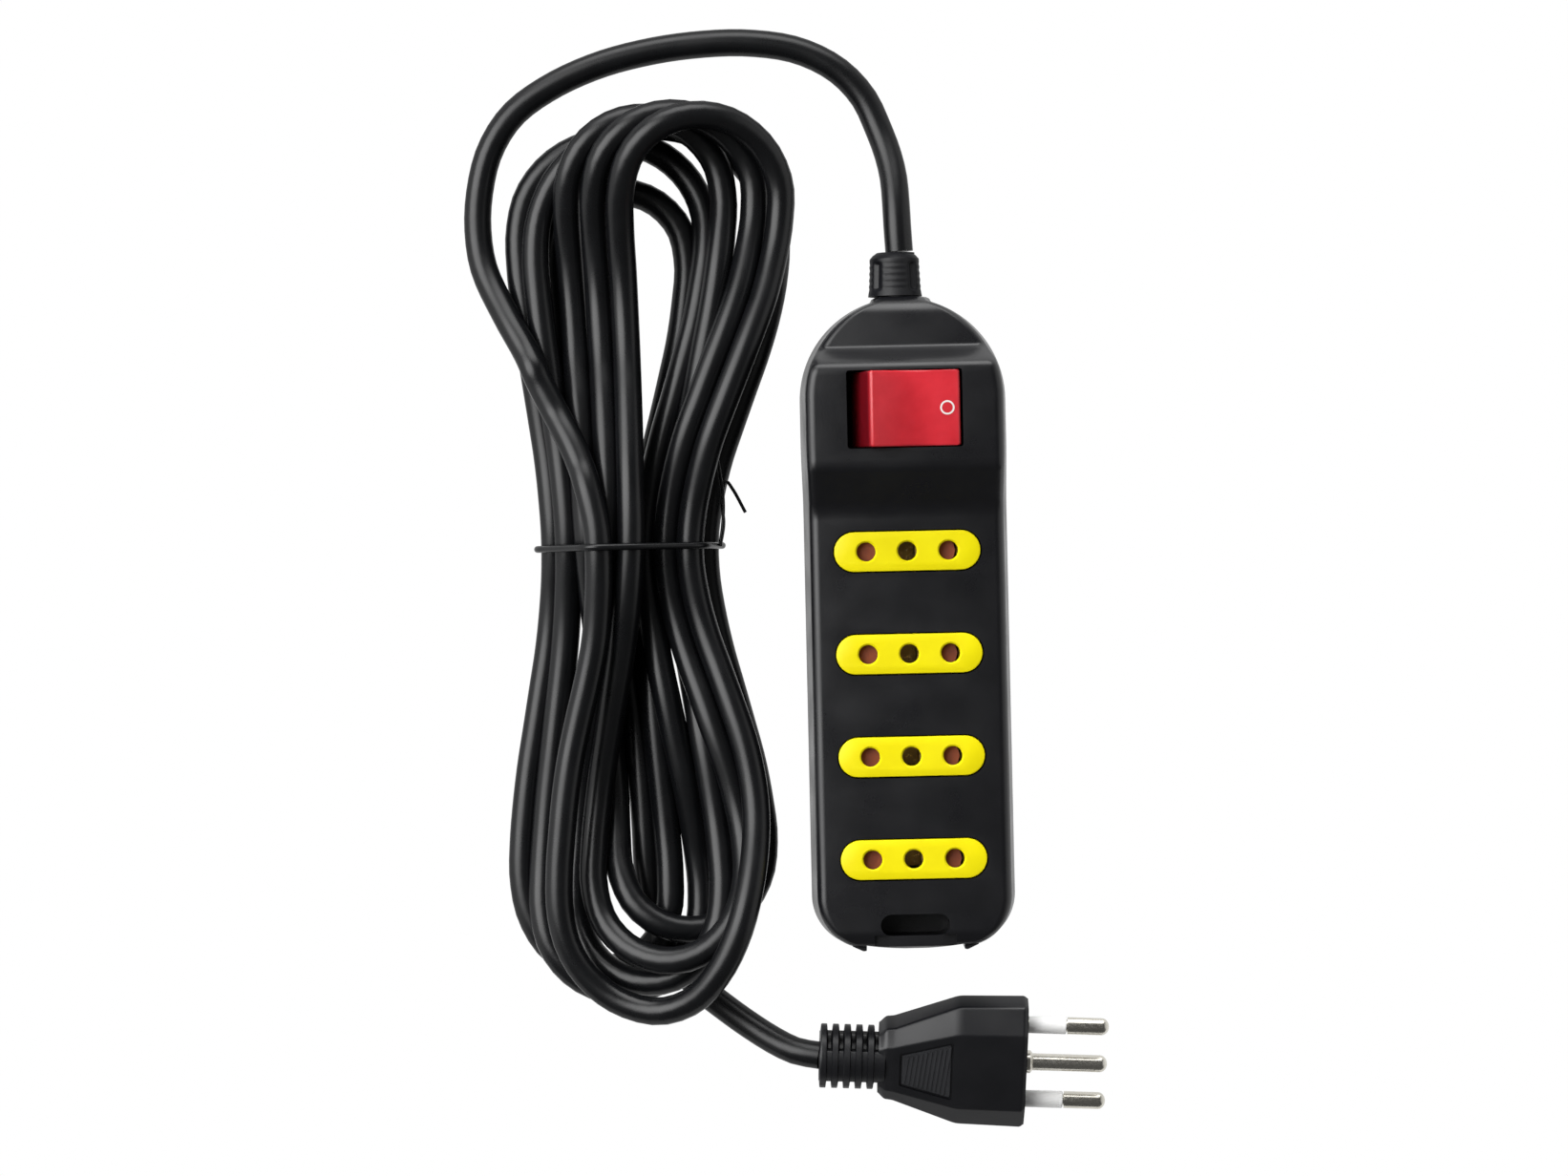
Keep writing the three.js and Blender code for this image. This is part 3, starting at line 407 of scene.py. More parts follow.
def arc(start, end, count, radius=1, middle=(0, 0)):
    """Points round part of a circle, from one angle in degrees to another."""
    x, y = middle
    turns = [math.radians(turn) for turn in np.linspace(start, end, count)]
    return [(x + radius * math.cos(turn), y + radius * math.sin(turn)) for turn in turns]


def spans(*parts):
    """Places evenly apart within each part, given as its start, end and count."""
    return np.concatenate([np.linspace(*part) for part in parts])


def lathe(profile, sides=48, closed=False):
    """Points and faces of a (radius, height) profile turned about Z."""
    rings = []
    for radius, height in profile:
        rings.append([(radius * math.cos(t), radius * math.sin(t), height) for t in full_turn(sides)])
    if closed:
        rings.append(rings[0])
    return skin(rings, caps=not closed)


def prism(outline, low, high):
    """Points and faces of an outline in x and y, raised from one height to another."""
    return skin([[(x, y, z) for x, y in outline] for z in (low, high)])


def rectangle(half_x, half_y):
    """The outline of a rectangle about the origin."""
    return [(-half_x, -half_y), (half_x, -half_y), (half_x, half_y), (-half_x, half_y)]


def block(x0, x1, y0, y1, z0, z1):
    return prism([(x0, y0), (x1, y0), (x1, y1), (x0, y1)], z0, z1)


def moved(shape, offset=(0, 0, 0), turn=None):
    """The same shape turned and then moved."""
    points, faces = shape
    matrix = turn or Matrix.Identity(3)
    shift = Vector(offset)
    return [tuple(matrix @ Vector(p) + shift) for p in points], faces


def rod(radius, start, end, sides=32):
    """A cylinder between two points."""
    axis = Vector(end) - Vector(start)
    turn = Vector((0, 0, 1)).rotation_difference(axis).to_matrix()
    return moved(lathe([(radius, 0), (radius, axis.length)], sides), start, turn)


def stadium(length, width, segments=12):
    """A slot outline with round ends, its long side along x."""
    radius = width / 2
    points = []
    for side in (1, -1):
        start = -90 * side
        points += arc(start, start + 180, segments + 1, radius, (side * (length / 2 - radius), 0))
    return points


def rounded(outline, radius, segments=4):
    """An outline with each corner rounded."""
    points = []
    count = len(outline)
    for i in range(count):
        here = Vector(outline[i])
        before = Vector(outline[i - 1]) - here
        after = Vector(outline[(i + 1) % count]) - here
        angle = before.angle(after)
        if math.pi - angle < 0.05:
            points.append(tuple(here))
            continue
        back = min(radius / math.tan(angle / 2), 0.45 * before.length, 0.45 * after.length)
        start = here + before.normalized() * back
        end = here + after.normalized() * back
        for k in range(segments + 1):
            t = k / segments
            points.append(tuple((1 - t) ** 2 * start + 2 * t * (1 - t) * here + t ** 2 * end))
    return points


def join(*shapes):
    """Several shapes as one, which don't overlap each other."""
    points, faces = [], []
    for more, faces_of in shapes:
        start = len(points)
        points += list(more)
        faces += [tuple(start + i for i in face) for face in faces_of]
    return points, faces


def carve(thing, *steps, sharp=35):
    """Adds to a mesh or cuts it: each step is an operation and a shape."""
    tools = []
    for operation, shape in steps:
        tool = mesh_object("tool", *shape)
        modifier = thing.modifiers.new("carve", "BOOLEAN")
        modifier.operation = operation
        modifier.solver = "EXACT"
        modifier.object = tool
        tools.append(tool)
    bpy.context.view_layer.update()
    shown = thing.evaluated_get(bpy.context.evaluated_depsgraph_get())
    made = bpy.data.meshes.new_from_object(shown)
    thing.modifiers.clear()
    old = thing.data
    thing.data = made
    made.name = thing.name
    bpy.data.meshes.remove(old)
    for tool in tools:
        bpy.data.meshes.remove(tool.data)
    tidy_normals(made, sharp)
    return thing


def finish_piece(thing, material, body, slot, *replaced):
    """Gives a piece its material, the body that it rides on and the CAD nodes it stands for."""
    thing.data.materials.clear()
    thing.data.materials.append(material)
    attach(thing, body)
    if replaced:
        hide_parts(*replaced)
    return thing


# ---------------------------------------------------------------- materials

def new_material(name, color, roughness, metallic=0.0, specular=0.5):
    material = bpy.data.materials.new(name)
    material.use_nodes = True
    feed(material, {
        "Base Color": (*color, 1), "Roughness": roughness, "Metallic": metallic,
        "Specular IOR Level": specular,
    })
    return material


def shader_of(material):
    """The shader that gives a material its look."""
    return material.node_tree.nodes["Principled BSDF"]


def feed(material, inputs):
    """Sets or links inputs of a material's shader."""
    set_inputs(material.node_tree, shader_of(material), inputs)


def set_inputs(tree, node, inputs):
    """Gives a node's inputs values, or links them to other nodes' outputs."""
    for name, value in inputs.items():
        if isinstance(value, bpy.types.NodeSocket):
            tree.links.new(value, node.inputs[name])
        else:
            node.inputs[name].default_value = value


def add_node(tree, kind, inputs, **settings):
    """A shader node with its settings and inputs."""
    node = tree.nodes.new("ShaderNode" + kind)
    for name, value in settings.items():
        setattr(node, name, value)
    set_inputs(tree, node, inputs)
    return node


def object_space(tree):
    """The place on the object, in its own axes."""
    return add_node(tree, "TexCoord", {}).outputs["Object"]


def map_range(tree, source, span, onto, **settings):
    """Maps one span of values onto another."""
    inputs = {"Value": source, "From Min": span[0], "From Max": span[1], "To Min": onto[0], "To Max": onto[1]}
    return add_node(tree, "MapRange", inputs, **settings).outputs["Result"]


def blend(tree, share, first, second):
    """A colour that goes from the first to the second as the share goes from 0 to 1."""
    inputs = {"Factor": share, "A": first, "B": second}
    return add_node(tree, "Mix", inputs, data_type="RGBA").outputs["Result"]


def noise(material, scale, detail=3.0, stretch=(1, 1, 1)):
    """A noise texture in object space."""
    tree = material.node_tree
    mapping = add_node(tree, "Mapping", {"Vector": object_space(tree), "Scale": stretch})
    inputs = {"Vector": mapping.outputs["Vector"], "Scale": scale, "Detail": detail}
    return add_node(tree, "TexNoise", inputs).outputs["Fac"]


def spread(material, source, low, high):
    """Maps a texture's middle range onto two values."""
    return map_range(material.node_tree, source, (0.3, 0.7), (low, high))


def mottle(material, source, dark, light):
    """Lets the base colour wander between two close shades."""
    share = spread(material, source, 0, 1)
    feed(material, {"Base Color": blend(material.node_tree, share, (*dark, 1), (*light, 1))})


def bump(material, *layers):
    """Stacks (source, height in mm) layers as bump."""
    normal = None
    for source, height in layers:
        inputs = {"Strength": 1, "Distance": height * MM, "Height": source}
        if normal:
            inputs["Normal"] = normal
        normal = add_node(material.node_tree, "Bump", inputs).outputs["Normal"]
    feed(material, {"Normal": normal})


def moulded(name, dark, light, roughness, specular=0.5, grain=0.02):
    """Moulded plastic: fine grain, slow waviness and slightly uneven gloss and shade."""
    material = new_material(name, light, roughness, specular=specular)
    broad = noise(material, 45, 2)
    fine = noise(material, 2600, 2)
    mottle(material, noise(material, 160, 4), dark, light)
    rough = spread(material, noise(material, 90, 5), roughness - 0.04, roughness + 0.05)
    feed(material, {"Roughness": rough})
    bump(material, (broad, 0.04), (fine, grain))
    return material


def fade_gloss(material, fade_from, fade_to, least, most=0.5):
    """Lets the gloss die away where the surface turns its side to the viewer."""
    tree = material.node_tree
    facing = add_node(tree, "LayerWeight", {"Blend": 0.5}).outputs["Facing"]
    gloss = map_range(tree, facing, (fade_from, fade_to), (most, least))
    feed(material, {"Specular IOR Level": gloss})


def satin_black(name, dark, light, roughness, fade_from=0.15, fade_to=0.55, gloss=0.5):
    """Black plastic whose gloss dies away towards its edges, as a fine-grained skin's does."""
    material = moulded(name, dark, light, roughness, grain=0.012)
    fade_gloss(material, fade_from, fade_to, 0.08, gloss)
    return material


def metal(name, dark, light, roughness, stretch=(1, 1, 1)):
    """Bare or plated metal with fine drawing marks."""
    material = new_material(name, light, roughness, metallic=1)
    marks = noise(material, 900, 4, stretch)
    mottle(material, noise(material, 120, 3), dark, light)
    feed(material, {"Roughness": spread(material, marks, roughness - 0.06, roughness + 0.1)})
    bump(material, (marks, 0.006))
    return material


CASE_BLACK = satin_black("case_black", (0.0042, 0.0043, 0.0054), (0.0058, 0.0059, 0.0073), 0.3, 0.5, 0.74)
PVC_BLACK = satin_black("pvc_black", (0.0036, 0.0038, 0.0044), (0.0056, 0.0059, 0.0068), 0.28, gloss=0.4)
BOOT_BLACK = satin_black("boot_black", (0.0045, 0.0047, 0.006), (0.0068, 0.007, 0.0086), 0.5, 0.02, 0.3)
PLUG_BLACK = satin_black("plug_black", (0.0045, 0.0047, 0.006), (0.0068, 0.007, 0.0086), 0.36)
GRIP_BLACK = satin_black("grip_black", (0.015, 0.0156, 0.018), (0.021, 0.0217, 0.025), 0.6)
YELLOW = moulded("outlet_yellow", (0.83, 0.71, 0.002), (0.88, 0.77, 0.003), 0.34, 0.25, 0.006)
SHUTTER_RED = moulded("shutter_red", (0.16, 0.03, 0.012), (0.24, 0.05, 0.02), 0.5)
INNER_GREY = moulded("inner_grey", (0.012, 0.012, 0.014), (0.018, 0.018, 0.021), 0.55, 0.3)
SLEEVE_WHITE = moulded("sleeve_white", (0.80, 0.80, 0.79), (0.88, 0.88, 0.87), 0.4, 0.4, 0.006)
MARK_WHITE = moulded("mark_white", (0.72, 0.68, 0.66), (0.85, 0.8, 0.78), 0.4, 0.4, 0.004)
WIRE_BROWN = moulded("wire_brown", (0.085, 0.03, 0.012), (0.12, 0.04, 0.018), 0.4, 0.4, 0.006)
WIRE_BLUE = moulded("wire_blue", (0.015, 0.13, 0.48), (0.025, 0.17, 0.6), 0.4, 0.4, 0.006)
BRASS = metal("brass", (0.55, 0.36, 0.12), (0.66, 0.46, 0.17), 0.3)
NICKEL = metal("nickel", (0.52, 0.50, 0.44), (0.66, 0.64, 0.58), 0.22, (1, 8, 8))
STEEL = metal("steel", (0.36, 0.37, 0.39), (0.48, 0.49, 0.5), 0.34)


def rocker_red():
    """Clear red plastic that lets a little light through."""
    material = moulded("rocker_red", (0.55, 0.02, 0.031), (0.67, 0.031, 0.046), 0.2, 0.5, 0.004)
    feed(material, {
        "Subsurface Weight": 0.25, "Subsurface Radius": (0.004, 0.0006, 0.0006), "Subsurface Scale": 1,
    })
    fade_gloss(material, 0.3, 0.7, 0.1)
    # painted shade on the raised end of the rocker
    paint_end_shade(material)
    return material


def paint_end_shade(material):
    """Painted shade on the rocker's raised end: its steep end face, which lies in shade, is given a dark red
    by its place along x.
    """
    tree = material.node_tree
    plain = shader_of(material).inputs["Base Color"].links[0].from_socket
    place = add_node(tree, "SeparateXYZ", {"Vector": object_space(tree)})
    share = map_range(tree, place.outputs["X"], [x * MM for x in END_SHADE_SPAN], (0, 1))
    # painted shade: dark red over the raised end, fading into the plain red along x
    feed(material, {"Base Color": blend(tree, share, (0.13, 0.004, 0.008, 1), plain)})


def lamp_glass():
    material = moulded("lamp_glass", (0.85, 0.42, 0.2), (0.9, 0.5, 0.28), 0.08, 0.5, 0.002)
    feed(material, {"Transmission Weight": 0.7})
    return material


def striped_wire():
    """Green insulation with yellow stripes along it."""
    material = moulded("wire_earth", (0.05, 0.28, 0.03), (0.06, 0.33, 0.04), 0.4, 0.4, 0.006)
    tree = material.node_tree
    wave = add_node(tree, "TexWave", {"Vector": object_space(tree), "Scale": 220}, bands_direction="X")
    ramp = add_node(tree, "ValToRGB", {"Fac": wave.outputs["Fac"]})
    ramp.color_ramp.interpolation = "CONSTANT"
    green, yellow = ramp.color_ramp.elements
    green.color = (0.05, 0.3, 0.03, 1)
    yellow.color = (0.75, 0.62, 0.02, 1)
    yellow.position = 0.6
    feed(material, {"Base Color": ramp.outputs["Color"]})
    return material


ROCKER_RED = rocker_red()
LAMP_GLASS = lamp_glass()
WIRE_EARTH = striped_wire()


# ---------------------------------------------------------------- case

def roof_height(y):
    """The height of the roof at a place along the case, with its corners eased."""
    ys, zs = zip(*reversed(ROOF_LINE))
    return float(np.mean([np.interp(y + d, ys, zs) for d in (-0.6, -0.3, 0, 0.3, 0.6)]))


def smoothstep(value, low, high):
    """Goes smoothly from 0 to 1 as the value goes from low to high."""
    t = min(1, max(0, (value - low) / (high - low)))
    return t * t * (3 - 2 * t)


def half_width(y):
    """Half the case's width: a round nose, a slimmer outlet section, round tail corners."""
    nose_y = CASE_END - NOSE_RADIUS
    if y > nose_y:
        return max(NOSE_FLAT, math.sqrt(max(0, NOSE_RADIUS ** 2 - (y - nose_y) ** 2)))
    straight = CASE_HALF + (NOSE_RADIUS - CASE_HALF) * smoothstep(y, *WIDENS)
    corner = -CASE_END + TAIL_RADIUS
    if y >= corner:
        return straight
    flat = CASE_HALF - TAIL_RADIUS
    return flat + math.sqrt(max(0, TAIL_RADIUS ** 2 - (corner - y) ** 2))


def case_ring(y, half, bottom, top, edge):
    """A closed section: widest at the parting line, with rounded upper and lower edges."""
    draft = 1.2
    foot = min(1.2, edge)
    side = arc(-90, 0, 4, foot, (half - draft - foot, bottom + foot))
    side += [(half - 0.1, PARTING_HEIGHT - 1), (half, PARTING_HEIGHT), (half - 0.1, PARTING_HEIGHT + 1)]
    side += arc(0, 90, 9, edge, (half - draft - edge, top - edge))
    other = [(-x, z) for x, z in reversed(side)]
    return [(x, y, z) for x, z in side + other]


def case_stations():
    """Places along the case, close together where its shape turns."""
    nose = spans((CASE_END, 71, 13), (70, 56, 36))
    hump = spans((54.5, 40, 10), (38, 23.5, 38))
    tail = spans((20, -60, 9), (-63.5, -CASE_END, 26))
    return np.concatenate([nose, hump, tail])


def end_inset(y, radius=0.9):
    """How far the section draws in near the two ends, to round them."""
    depth = CASE_END - abs(y)
    if depth >= radius:
        return 0
    return radius - math.sqrt(radius ** 2 - (radius - depth) ** 2)


def case_outside():
    rings = []
    for y in case_stations():
        inset = end_inset(y)
        rings.append(case_ring(y, half_width(y) - inset, inset, roof_height(y) - inset, UPPER_EDGE))
    return skin(rings)


def case_inside():
    front = CASE_END - WALL
    back = SLOT_Y + SLOT_SIZE[1] / 2 + WALL
    rings = []
    for y in np.concatenate([[front], np.linspace(73, 23, 60), [0, -30, -55], [back]]):
        top = min(roof_height(y - WALL), roof_height(y), roof_height(y + WALL)) - WALL
        half = min(half_width(y), half_width(min(y + WALL, CASE_END))) - WALL
        rings.append(case_ring(y, max(5, half), WALL, top, 1))
    return skin(rings)


def tail_notch():
    """Cuts the tail between its two corner points back to a slightly convex bar."""
    side, ends_at = TAIL_BAR_HALF, -74.6
    points = [(side, -80), (side, ends_at)]
    points += [(x, -75.55 + 0.9 * (x / 11) ** 2) for x in np.linspace(10.8, -10.8, 15)]
    points += [(-side, ends_at), (-side, -80)]
    return prism(points, -1, BEYOND)


def tail_points():
    """The two small corner points that stand proud of the tail."""
    shapes = []
    point = [(TAIL_BAR_HALF, -72), (TAIL_BAR_HALF, -75.9), (12.1, -75.95), (14.6, -74.8), (14.6, -72)]
    for side in (-1, 1):
        outline = [(side * x, y) for x, y in point]
        shapes.append(prism(rounded(outline, 0.35), 3, 24.2))
    return join(*shapes)


def boot_cuts():
    """The hole for the cord's boot and the pocket for its flange."""
    x, _, z = BOOT_MOUTH
    hole = rod(5.2, (x, 60, z), (x, 90, z), 48)
    pocket = rod(6.9, (x, 66, z), (x, CASE_END - WALL, z), 48)
    return [("DIFFERENCE", hole), ("DIFFERENCE", pocket)]


def bar_recess():
    """Lowers the bar behind the hanging recess."""
    return block(-SLOT_BAR_HALF, SLOT_BAR_HALF, -80, -72.3, DECK_HEIGHT - 1.6, BEYOND)


def add_top_shell():
    shell = mesh_object("case_top", *case_outside())
    outlets = []
    for node in INSERTS:
        low, high = corners(node)
        length, width = high.x - low.x + 2 * GAP, high.y - low.y + 2 * GAP
        middle = (low.y + high.y) / 2
        outlets.append(prism([(x, y + middle) for x, y in stadium(length, width, 16)], 13, BEYOND))
    window = rounded(rectangle(SWITCH_OPENING[0] / 2, SWITCH_OPENING[1] / 2), 0.8)
    window = prism([(x, y + SWITCH_Y) for x, y in window], 26, BEYOND)
    recess = prism([(x, y + SLOT_Y) for x, y in stadium(*SLOT_SIZE)], -5, BEYOND)
    carve(
        shell,
        ("UNION", tail_points()),
        ("INTERSECT", block(-40, 40, -90, 90, PARTING_HEIGHT + GAP / 2, BEYOND)),
        ("DIFFERENCE", case_inside()),
        ("DIFFERENCE", join(*outlets, window)),
        ("DIFFERENCE", tail_notch()),
        ("DIFFERENCE", bar_recess()),
        ("DIFFERENCE", recess),
        *boot_cuts(),
        sharp=30,
    )
    finish_piece(shell, CASE_BLACK, "strip", "case_plastic", "top_shell")


def add_bottom_shell():
    shell = mesh_object("case_bottom", *case_outside())
    boss, head, shank = 3.4, 2.9, 1.7
    bosses, head_wells, bores = [], [], []
    for x, y in CASE_SCREWS:
        bosses.append(rod(boss, (x, y, WALL / 2), (x, y, PARTING_HEIGHT - GAP), 32))
        head_wells.append(rod(head, (x, y, -1), (x, y, 2.7), 32))
        bores.append(rod(shank, (x, y, 2.5), (x, y, 40), 24))
    carve(
        shell,
        ("INTERSECT", block(-40, 40, -90, 90, -1, PARTING_HEIGHT - GAP / 2)),
        ("DIFFERENCE", case_inside()),
        ("UNION", join(*bosses)),
        ("DIFFERENCE", join(*head_wells)),
        ("DIFFERENCE", join(*bores)),
        ("DIFFERENCE", tail_notch()),
        *boot_cuts(),
        sharp=30,
    )
    finish_piece(shell, CASE_BLACK, "strip", "case_plastic", "bottom_shell")


# ---------------------------------------------------------------- outlets

def insert_shapes(length, width, bottom, top):
    """A stadium cup, open below, with an eased upper edge: its outside and its hollow."""
    ease = 0.35
    skirt = 1.2
    plate = 2.2
    rings = []
    for inset, height in [(0, bottom), (0, top - ease), (0.1, top - 0.1), (ease, top)]:
        rings.append([(x, y, height) for x, y in stadium(length - 2 * inset, width - 2 * inset, 16)])
    outside = skin(rings)
    hollow = prism(stadium(length - 2 * skirt, width - 2 * skirt, 16), bottom - 1, top - plate)
    return outside, hollow


def add_inserts():
    for number, node in enumerate(INSERTS, 1):
        low, high = corners(node)
        outside, hollow = insert_shapes(high.x - low.x, high.y - low.y, low.z, high.z)
        mouth = PIN_HOLE_RADIUS + 0.4
        hole = lathe([(PIN_HOLE_RADIUS, high.z - 4), (PIN_HOLE_RADIUS, high.z - 0.4),
                      (mouth, high.z + 0.05), (mouth, high.z + 1)], 40)
        holes = [moved(hole, (x, 0, 0)) for x in (-PIN_SPACING, 0, PIN_SPACING)]
        insert = mesh_object(f"outlet_plate_{number}", *outside)
        carve(insert, ("DIFFERENCE", hollow), ("DIFFERENCE", join(*holes)), sharp=30)
        insert.data.transform(Matrix.Translation((0, (low.y + high.y) / 2 * MM, 0)))
        finish_piece(insert, YELLOW, "strip", "outlet_plastic", node)


# ---------------------------------------------------------------- rocker

def rocker_frame():
    """From the rocker's own level axes to where it rests."""
    turn = Matrix.Rotation(ROCKER_TILT, 4, "Y")
    return Matrix.Translation((0, SWITCH_Y * MM, ROCKER_PIVOT_Z * MM)) @ turn


def eased_prism_y(outline, half, ease=0.5):
    """An outline in x and z drawn out along y, with its two end edges eased."""
    outline = [Vector(p) for p in outline]
    middle = sum(outline, Vector((0, 0))) / len(outline)
    rings = []
    edge = [(half, ease), (half - 0.15 * ease, 0.5 * ease), (half - 0.5 * ease, 0.15 * ease),
            (half - ease, 0)]
    for y, inset in [(-y, inset) for y, inset in edge] + edge[::-1]:
        ring = [p - (p - middle).normalized() * inset for p in outline]
        rings.append([(x, y, z) for x, z in ring])
    return skin(rings)


def face_height(x):
    """The height of the rocker's slightly hollow face above its pivot."""
    edge_x, edge_z = ROCKER_EDGE
    return ROCKER_DIP + (edge_z - ROCKER_DIP) * (abs(x) / edge_x) ** FACE_CURVE


def rocker_end(side):
    """One end of the rocker's section, from its foot to its eased top corner."""
    edge_x, edge_z = ROCKER_EDGE
    ease = 0.8
    end = [(ROCKER_FOOT[-1][0], 0)] + arc(-10, 80, 6, ease, (edge_x - ease, edge_z - ease - 0.15))
    return [(side * x, z) for x, z in end]


def rocker_outline():
    """The rocker's whole section, as (x, z)."""
    foot = rounded(ROCKER_FOOT, 0.6)[2:-2]
    inner = ROCKER_EDGE[0] - 0.9
    face = [(x, face_height(x)) for x in np.linspace(inner, -inner, 25)]
    return foot + rocker_end(1) + face + rocker_end(-1)[::-1]


def add_rocker():
    half = ROCKER_WIDTH / 2
    cap = mesh_object("rocker_cap", *eased_prism_y(rocker_outline(), half))
    hollow = skin([[(x, y, z) for x, z in ROCKER_HOLLOW] for y in (-half + 1.5, half - 1.5)])
    carve(
        cap,
        ("DIFFERENCE", hollow),
        ("UNION", block(-1.5, 1.5, -3, 3, -7.7, 9)),
        ("UNION", rod(1.5, (0, -half - 1.4, 0), (0, half + 1.4, 0), 24)),
        sharp=28,
    )
    cap.data.transform(rocker_frame())
    finish_piece(cap, ROCKER_RED, "rocker", "rocker_plastic", "rocker")
    add_rocker_mark()


def add_rocker_mark():
    """A plain ring pad-printed near the pressed end."""
    profile = [(1.25, -0.05), (1.65, -0.05), (1.65, 0.06), (1.25, 0.06)]
    ring = mesh_object("rocker_mark", *lathe(profile, 40, closed=True))
    x = 7.6
    slope = math.atan(FACE_CURVE * (face_height(x) - ROCKER_DIP) / x)
    place = Matrix.Translation((x * MM, 0, face_height(x) * MM)) @ Matrix.Rotation(-slope, 4, "Y")
    ring.data.transform(rocker_frame() @ place)
    finish_piece(ring, MARK_WHITE, "rocker", "sleeve_plastic")


# ---------------------------------------------------------------- boot

def add_boot():
    """The tapered strain relief: grooves at its shoulders, faint ribs and a chamfered mouth."""
    axis_z = BOOT_MOUTH[2]
    bore = CORD_RADIUS + GAP
    held, shown = np.array(BOOT_HELD), np.array(BOOT_SHOWN)
    turns = full_turn(96)
    rings = []
    for y in np.concatenate([held[:, 0], np.linspace(76.4, shown[-1, 0], 60)]):
        outside = y > CASE_END + GAP
        profile = shown if outside else held
        radius = np.interp(y, profile[:, 0], profile[:, 1])
        shift = BOOT_SHIFT if outside else 0
        ring = []
        for t in turns:
            reach = radius + (boot_relief(y, t) if outside else 0)
            ring.append((shift + reach * math.sin(t), y, axis_z + reach * math.cos(t)))
        rings.append(ring)
    for y in (shown[-1, 0], held[0, 0]):
        rings.append([(bore * math.sin(t), y, axis_z + bore * math.cos(t)) for t in turns])
    rings.append(rings[0])
    boot = mesh_object("boot", *skin(rings, caps=False), sharp=40)
    return finish_piece(boot, BOOT_BLACK, "strip", "cord_pvc", "cord_boot")


def boot_relief(y, turn):
    """Grooves along the boot at its four shoulders, and ribs across the panels between them."""
    along = smoothstep(y, 76.8, 77.8) * (1 - smoothstep(y, 83, 84))
    shoulder = abs(math.degrees(turn) % 90 - 45)
    groove = math.exp(-((shoulder / 9) ** 2))
    pitch = 1.5
    dip = 0.5 + 0.5 * math.cos((y - 77.4) / pitch * 2 * math.pi)
    panel = smoothstep(shoulder, 14, 22)
    groove_depth, dip_depth = 0.8, 0.12
    return -along * (groove_depth * groove + dip_depth * dip * panel)


# ---------------------------------------------------------------- tie

def hull(points):
    """The outline round a set of points."""
    points = sorted(set(map(tuple, np.round(points, 4).tolist())))
    sides = []
    for sequence in (points, points[::-1]):
        chain = []
        for p in sequence:
            while len(chain) > 1 and turns_right(chain[-2], chain[-1], p):
                chain.pop()
            chain.append(p)
        sides += chain[:-1]
    return sides


def turns_right(a, b, c):
    """Whether the way from a over b to c turns right or goes straight on."""
    return (b[0] - a[0]) * (c[1] - a[1]) - (b[1] - a[1]) * (c[0] - a[0]) <= 0


def curve_object(name, line, radius, closed=False):
    """A round wire or cord along a line in millimetres."""
    data = bpy.data.curves.new(name, "CURVE")
    data.dimensions = "3D"
    data.bevel_depth = radius * MM
    data.bevel_resolution = 6
    data.use_fill_caps = True
    spline = data.splines.new("POLY")
    spline.points.add(len(line) - 1)
    flat = np.column_stack([np.array(line) * MM, np.ones(len(line))])
    spline.points.foreach_set("co", flat.ravel())
    spline.use_cyclic_u = closed
    spline.use_smooth = True
    return new_object(name, data)


def add_tie(line):
    """A covered wire drawn round the bundle where its passes lie."""
    wire = TIE_WIRE / 2
    near = line[(abs(line[:, 1] - TIE_Y) < 1.6) & (line[:, 0] < HANK_RIGHT)]
    turn = full_turn(24)
    reach = CORD_RADIUS + wire + 0.05
    around = reach * np.column_stack([np.cos(turn), np.sin(turn)])
    rings = np.concatenate([p[[0, 2]] + around for p in near])
    rings[:, 1] = np.maximum(rings[:, 1], wire + 0.15)
    band = np.array([(x, TIE_Y, z) for x, z in hull(rings)])
    band = respaced(np.vstack([band, band[:1]]), 1.5)[:-1]
    side = band[:, 0].max()
    tie = curve_object("wire_tie_band", band, wire, closed=True)
    finish_piece(tie, PVC_BLACK, "strip", "cord_pvc", "wire_tie")
    ends = [
        [(-0.4, 0.4, 13), (0.3, 5, 13), (0.5, 11, 12.4), (-0.2, 17, 12), (-1, 22.4, 12)],
        [(-0.4, -0.2, 11.4), (0.5, 5, 11.4), (0.2, 11, 11), (1.2, 15, 10.4), (2.8, 13, 10), (5.6, 7.6, 9)],
    ]
    pieces = [tie]
    for number, route in enumerate(ends, 1):
        points = [(side + x, TIE_Y + y, z) for x, y, z in route]
        end = curve_object(f"wire_tie_end_{number}", smooth_line(points, 0.8), TIE_WIRE / 4)
        pieces.append(finish_piece(end, PVC_BLACK, "strip", "cord_pvc"))
    return pieces


# ---------------------------------------------------------------- plug

def plug_frame():
    """From the plug's own axes, face at x = 0 and pins along +x, to where it lies."""
    place = Matrix.Translation([v * MM for v in PLUG_FACE])
    return place @ Matrix.Rotation(PLUG_HEADING, 4, "Z") @ Matrix.Rotation(PLUG_ROLL, 4, "X")


def plug_ring(station):
    """The plug's eight-sided section at one station, its corners rounded."""
    x, half, flat, thick, side = station
    outline = [(half, -side), (half, side), (flat, thick), (-flat, thick), (-half, side), (-half, -side),
               (-flat, -thick), (flat, -thick)]
    return [(x, y, z) for y, z in rounded(outline, 1.4, 5)]


def plug_sections():
    """The plug's stations with its lengthwise corners eased."""
    columns = np.array(PLUG_STATIONS)
    rows = []
    for x in spans((COLLAR_START, -30, 16), (-29, -18, 7), (-17.4, -14.6, 9), (-12, -2, 4), (-1.4, 0, 8)):
        ease = 0.35 if x > -2 or x < -30 else 0.9
        samples = np.clip([x - ease, x - ease / 2, x, x + ease / 2, x + ease], COLLAR_START, 0)
        values = [np.mean(np.interp(samples, columns[:, 0], columns[:, k])) for k in range(1, 5)]
        rows.append((x, *values))
    return rows


